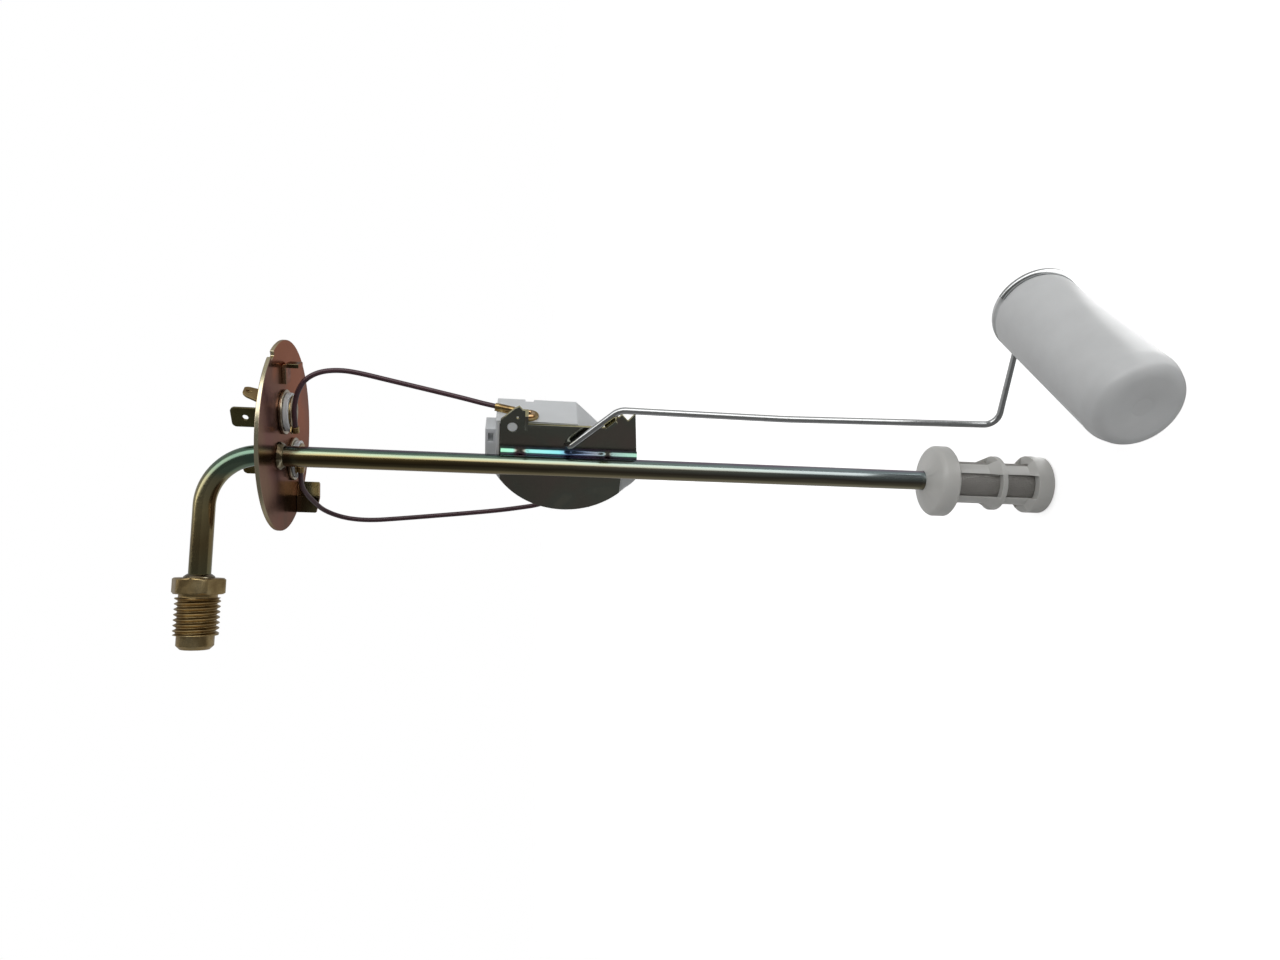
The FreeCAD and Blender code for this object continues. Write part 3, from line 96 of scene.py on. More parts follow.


# ---------------------------------------------------------------- finishes


class Finish:
    """One procedural finish: a Principled shader and the nodes that feed it."""

    def __init__(self, name, **sockets):
        self.material = bpy.data.materials.new(name)
        self.material.use_nodes = True
        self.tree = self.material.node_tree
        self.shader = self.tree.nodes["Principled BSDF"]
        for socket, value in sockets.items():
            self.set(self.shader, socket.replace("_", " "), value)
        self.place = self.add("ShaderNodeTexCoord").outputs["Object"]

    def add(self, kind, **settings):
        node = self.tree.nodes.new(kind)
        for name, value in settings.items():
            setattr(node, name, value)
        return node

    def set(self, node, socket, value):
        """A constant goes on the socket, and an output is linked to it."""
        if isinstance(value, bpy.types.NodeSocket):
            self.tree.links.new(value, node.inputs[socket])
        elif isinstance(value, tuple) and len(node.inputs[socket].default_value) == len(value) + 1:
            node.inputs[socket].default_value = (*value, 1.0)
        else:
            node.inputs[socket].default_value = value

    def shader_input(self, socket, value):
        self.set(self.shader, socket, value)

    def scaled(self, scale):
        """Object coordinates scaled by axis, so that a pattern is drawn out along the smaller ones."""
        node = self.add("ShaderNodeMapping")
        self.set(node, "Vector", self.place)
        node.inputs["Scale"].default_value = scale
        return node.outputs["Vector"]

    def noise(self, size, detail=3.0, coordinates=None, distortion=0.0):
        """Noise whose lumps are about size millimetres across."""
        node = self.add("ShaderNodeTexNoise")
        self.set(node, "Vector", coordinates or self.place)
        node.inputs["Scale"].default_value = 1 / (size * MM)
        node.inputs["Detail"].default_value = detail
        node.inputs["Distortion"].default_value = distortion
        return node.outputs["Fac"]

    def part(self, axis, coordinates=None):
        """One component of the coordinates."""
        node = self.add("ShaderNodeSeparateXYZ")
        self.set(node, "Vector", coordinates or self.place)
        return node.outputs[axis]

    def spread(self, value, low, high, new_low=0.0, new_high=1.0):
        node = self.add("ShaderNodeMapRange")
        self.set(node, "Value", value)
        for socket, number in zip(("From Min", "From Max", "To Min", "To Max"), (low, high, new_low, new_high)):
            node.inputs[socket].default_value = number
        return node.outputs["Result"]

    def maths(self, operation, first, second=0.0):
        node = self.add("ShaderNodeMath", operation=operation)
        self.set(node, 0, first)
        self.set(node, 1, second)
        return node.outputs[0]

    def ramp(self, value, stops):
        """Colours that follow a value from 0 to 1."""
        node = self.add("ShaderNodeValToRGB")
        self.set(node, "Fac", value)
        elements = node.color_ramp.elements
        while len(elements) < len(stops):
            elements.new(0.5)
        for element, (position, colour) in zip(elements, stops):
            element.position = position
            element.color = (*colour, 1.0)
        return node.outputs["Color"]

    def mix(self, share, first, second, blend="MIX"):
        node = self.add("ShaderNodeMix", data_type="RGBA", blend_type=blend)
        self.set(node, 0, share)
        for index, colour in ((6, first), (7, second)):
            if isinstance(colour, bpy.types.NodeSocket):
                self.tree.links.new(colour, node.inputs[index])
            else:
                node.inputs[index].default_value = (*colour, 1.0)
        return node.outputs[2]

    def bump(self, height, depth, strength=1.0):
        """Relief whose full height is depth millimetres."""
        node = self.add("ShaderNodeBump")
        self.set(node, "Height", height)
        node.inputs["Distance"].default_value = depth * MM
        node.inputs["Strength"].default_value = strength
        self.shader_input("Normal", node.outputs["Normal"])


def plated(name, stops, patch=9.0, rough=(0.2, 0.36), grain=0.5):
    """Passivated zinc: colour drifts in soft patches, with fine grain and worn spots."""
    finish = Finish(name, Metallic=1.0)
    drift = finish.noise(patch, 2.0, distortion=0.6)
    colour = finish.ramp(finish.spread(drift, 0.3, 0.7), stops)
    fine = finish.noise(0.35, 4.0)
    worn = finish.spread(fine, 0.35, 0.75, 0.82, 1.12)
    shade = finish.mix(1.0, colour, finish.ramp(worn, [(0.0, (0, 0, 0)), (1.0, (1, 1, 1))]), "MULTIPLY")
    finish.shader_input("Base Color", shade)
    finish.shader_input("Roughness", finish.spread(finish.noise(2.5, 3.0), 0.3, 0.7, *rough))
    finish.bump(finish.noise(grain, 3.0), 0.012, 0.6)
    return finish


def moulded(name, colour, rough=0.4, soft=0.25, depth=0.012, drift=0.06):
    """Moulded plastic: a slight colour drift, soft light inside it and a fine surface."""
    finish = Finish(name, Metallic=0.0, Roughness=rough, IOR=1.5)
    low = tuple(c * (1 - drift) for c in colour)
    finish.shader_input("Base Color", finish.ramp(
        finish.spread(finish.noise(7.0, 2.0), 0.3, 0.7), [(0.0, low), (1.0, colour)]))
    finish.set(finish.shader, "Subsurface Weight", soft)
    finish.shader.inputs["Subsurface Radius"].default_value = (1.0, 0.95, 0.9)
    finish.shader.inputs["Subsurface Scale"].default_value = 1.2 * MM
    finish.bump(finish.noise(0.5, 4.0), depth, 0.5)
    return finish


def flange_finish():
    """Zinc plated sheet in its own drifting tint with painted light: painted reflections make it violet brown
    towards -Y and orange copper towards +Y, painted shade darkens it towards -X, a painted highlight makes the rim
    cream towards +X, and the tab walls below the flange take a painted dark olive reflection.
    """
    finish = Finish("flange plating and painted light", Metallic=1.0)
    wave = finish.maths("MULTIPLY", finish.maths("SUBTRACT", finish.noise(16.0, 2.0, distortion=0.5), 0.5), 0.5)
    # Bands by depth are painted reflections over the plating's own drift: violet brown towards -Y, orange copper
    # towards +Y.
    share = finish.maths("ADD", finish.spread(finish.part("Y"), -0.028, 0.028), wave)
    face = finish.ramp(share, [
        (0.0, (0.34, 0.26, 0.19)), (0.22, (0.28, 0.18, 0.16)), (0.45, (0.28, 0.19, 0.15)),
        (0.62, (0.45, 0.22, 0.14)), (0.85, (0.52, 0.25, 0.16)), (1.0, (0.36, 0.22, 0.17))])
    # Darker brown towards -X, away from the key light: painted shade.
    low = finish.ramp(finish.noise(7.0, 2.0), [(0.3, (0.18, 0.16, 0.12)), (0.7, (0.28, 0.17, 0.13))])
    side = finish.maths("ADD", finish.spread(finish.part("X"), -0.028, -0.004), finish.maths("MULTIPLY", wave, 0.6))
    face = finish.mix(side, low, face)
    flat = finish.add("ShaderNodeNewGeometry").outputs["Normal"]
    up = finish.maths("ABSOLUTE", finish.part("Z", flat))
    # The rim pales to cream towards +X, towards the key light: a painted highlight.
    rim = finish.mix(finish.spread(finish.part("X"), -0.026, 0.01), (0.24, 0.19, 0.11), (0.62, 0.56, 0.38))
    # Tab walls below the flange are painted dark olive, a painted reflection.
    rim = finish.mix(finish.spread(finish.part("Z"), -0.0016, -0.0012), (0.17, 0.15, 0.08), rim)
    finish.shader_input("Base Color", finish.mix(finish.spread(up, 0.3, 0.8), rim, face))
    streaks = finish.noise(0.9, 3.0, finish.scaled((0.12, 1.0, 1.0)))
    finish.shader_input("Roughness", finish.spread(streaks, 0.3, 0.7, 0.17, 0.27))
    finish.set(finish.shader, "Specular Tint", (0.52, 0.41, 0.4))
    finish.bump(finish.noise(1.6, 3.0), 0.008, 0.5)
    return finish


def tube_finish():
    """Zinc plated tube in its own tint under painted reflections: bands round it, painted shade in the middle, a
    gold painted highlight, teal painted reflection and a violet edge, are paler and bluer low down, and along the
    leg a painted cream-gold highlight lies near the elbow.
    """
    finish = Finish("tube plating and painted reflections", Metallic=1.0)
    across = finish.maths("SUBTRACT", finish.part("X"), TUBE_X * MM)
    beyond = finish.maths("SUBTRACT", finish.part("Y"), TUBE_Y * MM)
    across = finish.maths("ADD", finish.maths("MULTIPLY", across, REFLECTION_BAND_X), finish.maths("MULTIPLY", beyond, REFLECTION_BAND_Y))
    side = finish.spread(across, -TUBE_RADIUS * MM, TUBE_RADIUS * MM)
    wave = finish.maths("MULTIPLY", finish.maths("SUBTRACT", finish.noise(17.0, 2.0), 0.5), 0.2)
    side = finish.maths("ADD", side, wave)
    # Painted reflection bands round the tube: olive low side, dark painted shade, gold painted highlight, teal
    # painted reflection, violet top edge.
    upper = finish.ramp(side, [
        (0.0, (0.2, 0.15, 0.07)), (0.16, (0.17, 0.14, 0.07)), (0.32, (0.07, 0.05, 0.025)),
        (0.46, (0.14, 0.1, 0.04)), (0.55, (0.32, 0.23, 0.09)), (0.68, (0.27, 0.31, 0.2)),
        (0.84, (0.16, 0.27, 0.21)), (0.97, (0.12, 0.07, 0.12))])
    # Low down the same painted reflection bands, paler and bluer.
    lower = finish.ramp(side, [
        (0.0, (0.2, 0.19, 0.13)), (0.18, (0.21, 0.19, 0.13)), (0.34, (0.1, 0.09, 0.075)),
        (0.5, (0.2, 0.23, 0.22)), (0.68, (0.26, 0.29, 0.29)), (0.84, (0.27, 0.34, 0.35)),
        (0.97, (0.2, 0.14, 0.2))])
    along = finish.maths("ADD", finish.spread(finish.part("Z"), -0.16, -0.04), wave)
    colour = finish.mix(along, lower, upper)
    leg = finish.maths("ADD", finish.spread(finish.part("X"), -0.036, -0.004), wave)
    # Along the leg the plating's gold tint, with a painted cream-gold highlight near the elbow and a teal painted
    # reflection where it leaves the upright.
    gold = finish.ramp(leg, [
        (0.0, (0.19, 0.13, 0.05)), (0.25, (0.16, 0.16, 0.09)), (0.55, (0.2, 0.15, 0.07)),
        (0.75, (0.34, 0.28, 0.14)), (0.92, (0.26, 0.24, 0.14)), (1.0, (0.12, 0.19, 0.14))])
    colour = finish.mix(finish.spread(finish.part("Z"), -0.006, 0.006), colour, gold)
    finish.shader_input("Base Color", colour)
    drawn = finish.scaled((1.0, 1.0, 0.03))
    finish.shader_input("Roughness", finish.spread(finish.noise(0.6, 3.0, drawn), 0.3, 0.7, 0.12, 0.22))
    finish.bump(finish.noise(0.5, 3.0, drawn), 0.008, 0.5)
    return finish


def mirror_plate_finish():
    """Dark bright-rolled sheet with painted reflections: a painted teal reflection of the tube on the step along it,
    a violet painted reflection beside it, and a painted olive highlight on the cut edges.
    """
    finish = Finish("dark plate plating and painted reflections", Metallic=1.0)
    drift = finish.noise(16.0, 2.0, distortion=0.8)
    colour = finish.ramp(finish.spread(drift, 0.32, 0.68), [
        (0.0, (0.21, 0.17, 0.15)), (0.4, (0.19, 0.18, 0.15)), (0.75, (0.18, 0.19, 0.16)),
        (1.0, (0.22, 0.22, 0.18))])
    across, along = finish.part("X"), finish.part("Z")
    depth = finish.part("Y")
    front = finish.maths("LESS_THAN", depth, (PLATE_BACK - 0.5) * MM)
    # The painted teal reflection dulls and breaks at the dents.
    unbroken_reflection = front
    for middle, half, _ in DENTS:
        away = finish.maths("ABSOLUTE", finish.maths("SUBTRACT", along, middle * MM))
        unbroken_reflection = finish.maths("MULTIPLY", unbroken_reflection, finish.spread(away, half * MM * 0.7, half * MM * 1.3))
    # Painted teal reflection of the tube on the step along it.
    reflection_band = finish.maths("MULTIPLY", unbroken_reflection, finish.maths("MULTIPLY", finish.spread(across, 0.0037, 0.0028),
                                                        finish.spread(across, 0.0008, 0.0015)))
    # The painted teal reflection changes colour down the plate.
    teal = finish.ramp(finish.spread(along, -0.104, -0.062), [
        (0.0, (0.17, 0.3, 0.23)), (0.3, (0.13, 0.15, 0.18)), (0.5, (0.08, 0.13, 0.24)),
        (0.56, (0.12, 0.33, 0.35)), (0.8, (0.16, 0.36, 0.33)), (1.0, (0.18, 0.38, 0.24))])
    colour = finish.mix(reflection_band, colour, teal)
    # Painted violet reflection of the tube on the plate's front behind it.
    violet = finish.maths("MULTIPLY", front, finish.maths("MULTIPLY", finish.spread(across, 0.0015, 0.001),
                                                          finish.spread(across, -0.0045, -0.0035)))
    colour = finish.mix(violet, colour, (0.14, 0.09, 0.11))
    # Faces turned sideways, the cut edges, get a painted olive-gold highlight.
    facing = finish.maths("ABSOLUTE", finish.part("Y", finish.add("ShaderNodeNewGeometry").outputs["Normal"]))
    finish.shader_input("Base Color", finish.mix(finish.spread(facing, 0.12, 0.4), (0.5, 0.46, 0.26), colour))
    finish.shader_input("Roughness", finish.spread(finish.noise(3.0, 3.0), 0.3, 0.7, 0.12, 0.22))
    finish.bump(finish.noise(0.8, 3.0), 0.005)
    return finish


def drawn_wire_finish():
    """Bright drawn wire: fine lines along it and a few dull spots."""
    finish = Finish("bright wire", Metallic=1.0)
    spots = finish.spread(finish.noise(1.6, 4.0), 0.55, 0.75)
    finish.shader_input("Base Color", finish.mix(spots, (0.5, 0.51, 0.51), (0.41, 0.41, 0.4)))
    finish.shader_input("Roughness", finish.spread(finish.noise(1.2, 3.0), 0.3, 0.7, 0.16, 0.26))
    finish.bump(finish.noise(0.9, 3.0), 0.006, 0.5)
    return finish


FINISHES = {
    "copper_zinc": flange_finish(),
    "cup_zinc": plated("cup plating", [
        (0.0, (0.2, 0.14, 0.1)), (0.5, (0.36, 0.3, 0.22)), (1.0, (0.6, 0.56, 0.42))], 5.0, (0.18, 0.3)),
    "yellow_zinc": tube_finish(),
    "gold_zinc": plated("gold plating", [
        (0.0, (0.26, 0.18, 0.08)), (0.5, (0.36, 0.26, 0.12)), (1.0, (0.46, 0.36, 0.19))], 6.0, (0.28, 0.42), 1.4),
    "olive_zinc": plated("olive plating", [
        (0.0, (0.12, 0.1, 0.04)), (0.5, (0.18, 0.16, 0.07)), (1.0, (0.26, 0.25, 0.14))], 7.0),
    "dark_zinc": mirror_plate_finish(),
    "braze": plated("braze metal", [
        (0.0, (0.07, 0.05, 0.03)), (0.6, (0.15, 0.12, 0.07)), (1.0, (0.5, 0.46, 0.33))], 1.8, (0.16, 0.3), 0.9),
    "brass": plated("brass", [
        (0.0, (0.2, 0.13, 0.06)), (0.5, (0.36, 0.25, 0.1)), (1.0, (0.54, 0.42, 0.21))], 2.5),
    "copper": plated("copper rivet", [
        (0.0, (0.3, 0.16, 0.08)), (0.5, (0.44, 0.28, 0.14)), (1.0, (0.6, 0.44, 0.26))], 3.0),
    "bright_steel": drawn_wire_finish(),
    "white_nylon": moulded("white nylon", (0.66, 0.68, 0.69)),
    "float_plastic": moulded("float plastic", (0.64, 0.65, 0.652), 0.34, 0.5),
    "clear_nylon": moulded("natural nylon", (0.6, 0.595, 0.57), 0.36, 0.5),
    "mesh_nylon": moulded("mesh nylon", (0.31, 0.295, 0.275), 0.5, 0.2),
    "card": moulded("fibre card", (0.2, 0.1, 0.05), 0.6, 0.0),
    "resistance_wire": plated("resistance wire", [
        (0.0, (0.3, 0.26, 0.2)), (1.0, (0.5, 0.46, 0.38))], 3.0),
    "hub_plastic": moulded("hub nylon", (0.58, 0.57, 0.54)),
    "lead_sheath": moulded("lead sheath", (0.065, 0.026, 0.034), 0.34, 0.0, 0.02, 0.3),
}


# ---------------------------------------------------------------- mesh makers


def give(obj, body, slot_name, nodes=()):
    """Finish, slot, body and the nodes that a piece stands for."""
    obj.data.materials.clear()
    obj.data.materials.append(FINISHES[slot_name].material)
    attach(obj, body)
    if nodes:
        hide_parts(*nodes)
    return obj


def new_piece(name, points, faces, sharp=35.0):
    """A mesh object from points in millimetres and faces of four corners, doubles merged."""
    mesh = bpy.data.meshes.new(name)
    mesh.from_pydata((np.asarray(points, float) * MM).tolist(), [], np.asarray(faces).tolist())
    shell = bmesh.new()
    shell.from_mesh(mesh)
    bmesh.ops.remove_doubles(shell, verts=shell.verts, dist=1e-7)
    bmesh.ops.dissolve_degenerate(shell, dist=1e-7, edges=shell.edges)
    bmesh.ops.recalc_face_normals(shell, faces=shell.faces)
    shell.to_mesh(mesh)
    shell.free()
    mesh.shade_smooth()
    mesh.set_sharp_from_angle(angle=math.radians(sharp))
    obj = bpy.data.objects.new(name, mesh)
    bpy.context.scene.collection.objects.link(obj)
    return obj


def grid_faces(rows, columns, around_rows, around_columns):
    """Quads of a grid of points, closed round either way."""
    row = np.arange(rows if around_rows else rows - 1)
    column = np.arange(columns if around_columns else columns - 1)
    r, c = np.meshgrid(row, column, indexing="ij")
    r2, c2 = (r + 1) % rows, (c + 1) % columns
    return np.stack([r * columns + c, r * columns + c2, r2 * columns + c2, r2 * columns + c], -1).reshape(-1, 4)


def rounded(corners, radius, steps=5, closed=True):
    """A polyline whose corners are arcs.

    Each corner gives way to an arc of the radius, or of a smaller one where its sides are short.
    """
    corners = [np.asarray(c, float) for c in corners]
    count = len(corners)
    radii = [radius] * count if np.isscalar(radius) else list(radius)
    line = []
    for i, corner in enumerate(corners):
        if not closed and i in (0, count - 1) or radii[i] <= 0:
            line.append(corner[None])
            continue
        back = corners[i - 1] - corner
        ahead = corners[(i + 1) % count] - corner
        back_length, ahead_length = np.linalg.norm(back), np.linalg.norm(ahead)
        back, ahead = back / back_length, ahead / ahead_length
        half = math.acos(np.clip(back @ ahead, -1, 1)) / 2
        if half > math.pi / 2 - 1e-3:
            line.append(corner[None])
            continue
        cut = min(radii[i] / math.tan(half), 0.48 * back_length, 0.48 * ahead_length)
        r = cut * math.tan(half)
        middle = corner + (back + ahead) / np.linalg.norm(back + ahead) * (r / math.sin(half))
        start, end = corner + back * cut - middle, corner + ahead * cut - middle
        sweep = math.pi - 2 * half
        share = np.linspace(0, 1, steps + 1)[:, None]
        line.append(middle + (np.sin((1 - share) * sweep) * start + np.sin(share * sweep) * end) / math.sin(sweep))
    return np.concatenate(line)


def turned(name, profile, centre=(0, 0, 0), axes=None, steps=96, closed=True, radius_of=None, sharp=35.0):
    """A lathe surface: each profile point (radius, height) is carried round the axis.

    Where it is given, radius_of changes radius and height by the angle.
    """
    profile = np.asarray(profile, float)
    angle = np.linspace(0, TURN, steps, endpoint=False)
    r = np.repeat(profile[:, :1], steps, 1)
    h = np.repeat(profile[:, 1:2], steps, 1)
    a = np.repeat(angle[None], len(profile), 0)
    if radius_of:
        r, h = radius_of(r, h, a)
    local = np.stack([r * np.cos(a), r * np.sin(a), h], -1)
    if axes is not None:
        local = local @ np.asarray(axes, float)
    points = local + np.asarray(centre, float)
    faces = grid_faces(len(profile), steps, closed, True)
    return new_piece(name, points.reshape(-1, 3), faces, sharp)


def swept(name, path, section, first, bore=None, sharp=40.0):
    """A closed section carried along a path without twist, with its ends closed, or with a bore's wall."""
    path = np.asarray(path, float)
    along = np.gradient(path, axis=0)
    along /= np.linalg.norm(along, axis=1)[:, None]
    side = np.empty_like(path)
    across = np.asarray(first, float)
    for i, heading in enumerate(along):
        across = across - heading * (across @ heading)
        across = across / np.linalg.norm(across)
        side[i] = across
    up = np.cross(along, side)

    def skin(scale):
        ring = np.asarray(section, float) * scale
        return path[:, None] + ring[None, :, :1] * side[:, None] + ring[None, :, 1:] * up[:, None]

    points = skin(1.0)
    if bore is None:
        ends = [np.repeat(path[i][None, None], points.shape[1], 1) for i in (0, -1)]
        rows = np.concatenate([ends[0], points, ends[1]])
        faces = grid_faces(len(rows), rows.shape[1], False, True)
    else:
        rows = np.concatenate([points, skin(bore)[::-1]])
        faces = grid_faces(len(rows), rows.shape[1], True, True)
    return new_piece(name, rows.reshape(-1, 3), faces, sharp)


def capped(name, rows, sharp=30.0):
    """A bar of rows of points round it, each end closed on its own middle."""
    ends = [np.repeat(rows[i].mean(0)[None, None], rows.shape[1], 1) for i in (0, -1)]
    rows = np.concatenate([ends[0], rows, ends[1]])
    return new_piece(name, rows.reshape(-1, 3), grid_faces(len(rows), rows.shape[1], False, True), sharp)


def ease_edges(obj, width, segments, angle):
    """Edges sharper than the angle are rounded over the width."""
    ease = obj.modifiers.new("eased edges", "BEVEL")
    ease.width = width * MM
    ease.segments = segments
    ease.limit_method = "ANGLE"
    ease.angle_limit = math.radians(angle)
    return ease


def ring_section(radius, count=24):
    """Points round a circle."""
    angle = np.linspace(0, TURN, count, endpoint=False)
    return np.stack([radius * np.cos(angle), radius * np.sin(angle)], -1)


def eased_copy(node, name, slot_name, edge, segments=2, shape=None):
    """A copy of a node's solid with its loose triangles merged and its edges eased.

    Where it is given, shape moves the points, in millimetres.
    """
    sharp = 30.0
    mesh = frame["nodes"][node].data.copy()
    mesh.name = name
    shell = bmesh.new()
    shell.from_mesh(mesh)
    bmesh.ops.remove_doubles(shell, verts=shell.verts, dist=2e-6)
    bmesh.ops.dissolve_limit(shell, angle_limit=math.radians(0.6), verts=shell.verts, edges=shell.edges)
    bmesh.ops.recalc_face_normals(shell, faces=shell.faces)
    shell.to_mesh(mesh)
    shell.free()
    if shape:
        points = np.empty(3 * len(mesh.vertices))
        mesh.vertices.foreach_get("co", points)
        mesh.vertices.foreach_set("co", (shape(points.reshape(-1, 3) / MM) * MM).ravel())
    mesh.shade_smooth()
    mesh.set_sharp_from_angle(angle=math.radians(sharp))
    obj = bpy.data.objects.new(name, mesh)
    bpy.context.scene.collection.objects.link(obj)
    ease = ease_edges(obj, edge, segments, sharp)
    ease.harden_normals = True
    ease.use_clamp_overlap = False
    body = frame["nodes"][node]["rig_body"]
    return give(obj, body, slot_name, [node])


# ---------------------------------------------------------------- leads

UPPER_LEAD = [
    (5.0, -3.0, -3.7), (9.7, -2.4, -3.65), (12.9, -1.0, -4.1), (15.7, 0.0, -5.0), (18.6, 1.5, -6.9),
    (20.45, 3.0, -10.9), (20.7, 4.0, -16.3), (19.7, 4.6, -21.6), (17.9, 5.0, -28.5), (15.0, 5.0, -41.5),
    (13.2, 4.2, -51.5), (12.55, 2.545, -57.75), (12.55, 1.384, -61.16),
]
LOWER_LEAD = [
    (-10.4, -3.4, -3.7), (-13.6, -3.9, -3.4), (-18.06, -3.0, -3.9), (-23.5, -1.0, -6.1),
    (-28.0, 1.0, -8.2), (-32.1, 3.0, -13.8), (-33.45, 4.0, -21.3), (-33.0, 5.0, -30.7),
    (-31.7, 5.0, -40.3), (-29.9, 5.0, -53.2), (-28.4, 5.0, -62.9), (-27.1, 5.0, -69.401),
    (-24.6, 3.4, -75.401), (-21.85, 2.66, -79.241), (-21.85, 2.224, -82.351),
]
LEAD_RADIUS = 0.75


def make_lead(name, route, node):
    """A lead along its route's own smooth spline."""
    line = bpy.data.curves.new(name, "CURVE")
    line.dimensions = "3D"
    spline = line.splines.new("NURBS")
    spline.points.add(len(route) - 1)
    flat = np.concatenate([np.array(route) * MM, np.ones((len(route), 1))], 1)
    spline.points.foreach_set("co", flat.ravel())
    spline.order_u = 3
    spline.use_endpoint_u = True
    spline.resolution_u = 12
    line.bevel_depth = LEAD_RADIUS * MM
    line.bevel_resolution = 6
    line.use_fill_caps = True
    obj = bpy.data.objects.new(name, line)
    bpy.context.scene.collection.objects.link(obj)
    give(obj, "root", "lead_sheath", [node])
    return obj


make_lead("upper_lead_wire", UPPER_LEAD, "upper_lead")
make_lead("lower_lead_wire", LOWER_LEAD, "lower_lead")


# ---------------------------------------------------------------- tube, union and braze


def leg_axes():
    """Rows: away from the elbow, level across it, and up."""
    out = np.array([-math.cos(LEG_ANGLE), -math.sin(LEG_ANGLE), 0.0])
    up = np.array([0.0, 0.0, 1.0])
    return out, np.cross(up, out), up


def make_tube():
    """A pipe wall carried down the drop, round the elbow and out along the leg."""
    out, level, _ = leg_axes()
    foot = np.array([TUBE_X, TUBE_Y, -TUBE_DROP])
    corner = np.array([TUBE_X, TUBE_Y, LEG_HEIGHT])
    end = corner + out * LEG_LENGTH
    bend = rounded([foot, corner, end], ELBOW_RADIUS, 36, closed=False)
    path = [foot + (bend[1] - foot) * s for s in np.linspace(0, 1, 90)[:-1]]
    path = np.concatenate([path, bend[1:-1], [bend[-2] + (end - bend[-2]) * s for s in np.linspace(0, 1, 16)[1:]]])
    wall = swept("drawn_tube", path, ring_section(TUBE_RADIUS, 48), level, bore=TUBE_BORE / TUBE_RADIUS)
    return give(wall, "root", "yellow_zinc", ["suction_tube"])


def thread_radius_of(r, h, a):
    """Thread and hexagon as changes of radius.

    In the thread the radius sinks by a cosine wave of the height in pitches less the turn already made, which
    fades out at both ends. In the collar it is held to six flats.
    """
    pitch, depth, half_flats = 1.5, 0.92, 6.5
    low, high = 41.0, 51.6
    threaded = (h > low + 0.15) & (h < high - 0.15) & (r > 5.9)
    groove = 0.5 - 0.5 * np.cos(TURN * np.mod((h - low) / pitch - a / TURN, 1.0))
    fade = np.clip(np.minimum(h - low, high - h) / 0.7, 0, 1)
    r = np.where(threaded, r - depth * groove ** 0.9 * fade, r)
    hexagon = half_flats / np.cos(np.mod(a + math.pi / 6, math.pi / 3) - math.pi / 6)
    collar = (h < 40.05) & (r > 5.2)
    return np.where(collar, np.minimum(r, hexagon), r), h


def make_union():
    """Turned from hexagon bar, with a real helical thread, its bore open at the nose."""
    out, level, up = leg_axes()
    base = np.array([TUBE_X, TUBE_Y, LEG_HEIGHT])
    skin = np.concatenate([
        rounded([(3.05, 46.0), (3.05, 35.5), (6.5, 35.5), (7.2, 35.9), (7.2, 39.6), (6.5, 40.0),
                 (5.1, 40.0), (5.1, 41.0), (5.9, 41.1)], 0.12, 3, closed=False),
        np.stack([np.full(600, 6.0), np.linspace(41.2, 51.4, 600)], -1),
        rounded([(5.9, 51.5), (4.95, 51.55), (4.95, 54.4), (3.85, 55.5), (3.2, 55.5), (2.0, 54.4), (2.0, 46.0)],
                0.15, 3, closed=False)])
    obj = turned("threaded_union", skin, base, np.array([level, up, out]), 112, radius_of=thread_radius_of, sharp=50)
    return give(obj, "root", "gold_zinc", ["outlet_union"])


def bead_change(seed, lump, height):
    """Radii and heights that swell and sink round a seam, as a brazed bead does."""
    rng = np.random.default_rng(seed)
    waves = [(k, rng.uniform(0.4, 1.0), rng.uniform(0, TURN)) for k in (2, 3, 5, 7, 11)]

    def change(r, h, a):
        swell = sum(w * np.sin(k * a + p) / k ** 0.4 for k, w, p in waves)
        outer = np.clip((r - TUBE_RADIUS) / 1.2, 0, 1)
        return r + outer * lump * swell, np.where(np.abs(h - height) < 1e-6, h, h + lump * swell * 0.7)
    return change


def make_beads():
    """Braze run round the tube at the flange and at the union."""
    fillet = rounded([(2.98, 0.02), (2.98, -1.75), (3.4, -1.4), (3.85, -0.95), (4.2, -0.35), (4.25, 0.02)], 0.4, 5)
    ring = turned("braze_run", fillet, (TUBE_X, TUBE_Y, 0), None, 144, radius_of=bead_change(4, 0.13, 0.02))
    give(ring, "root", "braze", ["braze_ring"])
    out, level, up = leg_axes()
    base = np.array([TUBE_X, TUBE_Y, LEG_HEIGHT])
    cone = rounded([(2.98, 35.5), (2.98, 34.3), (3.5, 34.65), (4.1, 35.1), (4.25, 35.5)], 0.2, 3)
    seam = turned("union_run", cone, base, np.array([level, up, out]), 96, radius_of=bead_change(9, 0.07, 35.5))
    give(seam, "root", "braze", ["union_braze_ring"])


make_tube()
make_union()
make_beads()


# ---------------------------------------------------------------- float arm and float


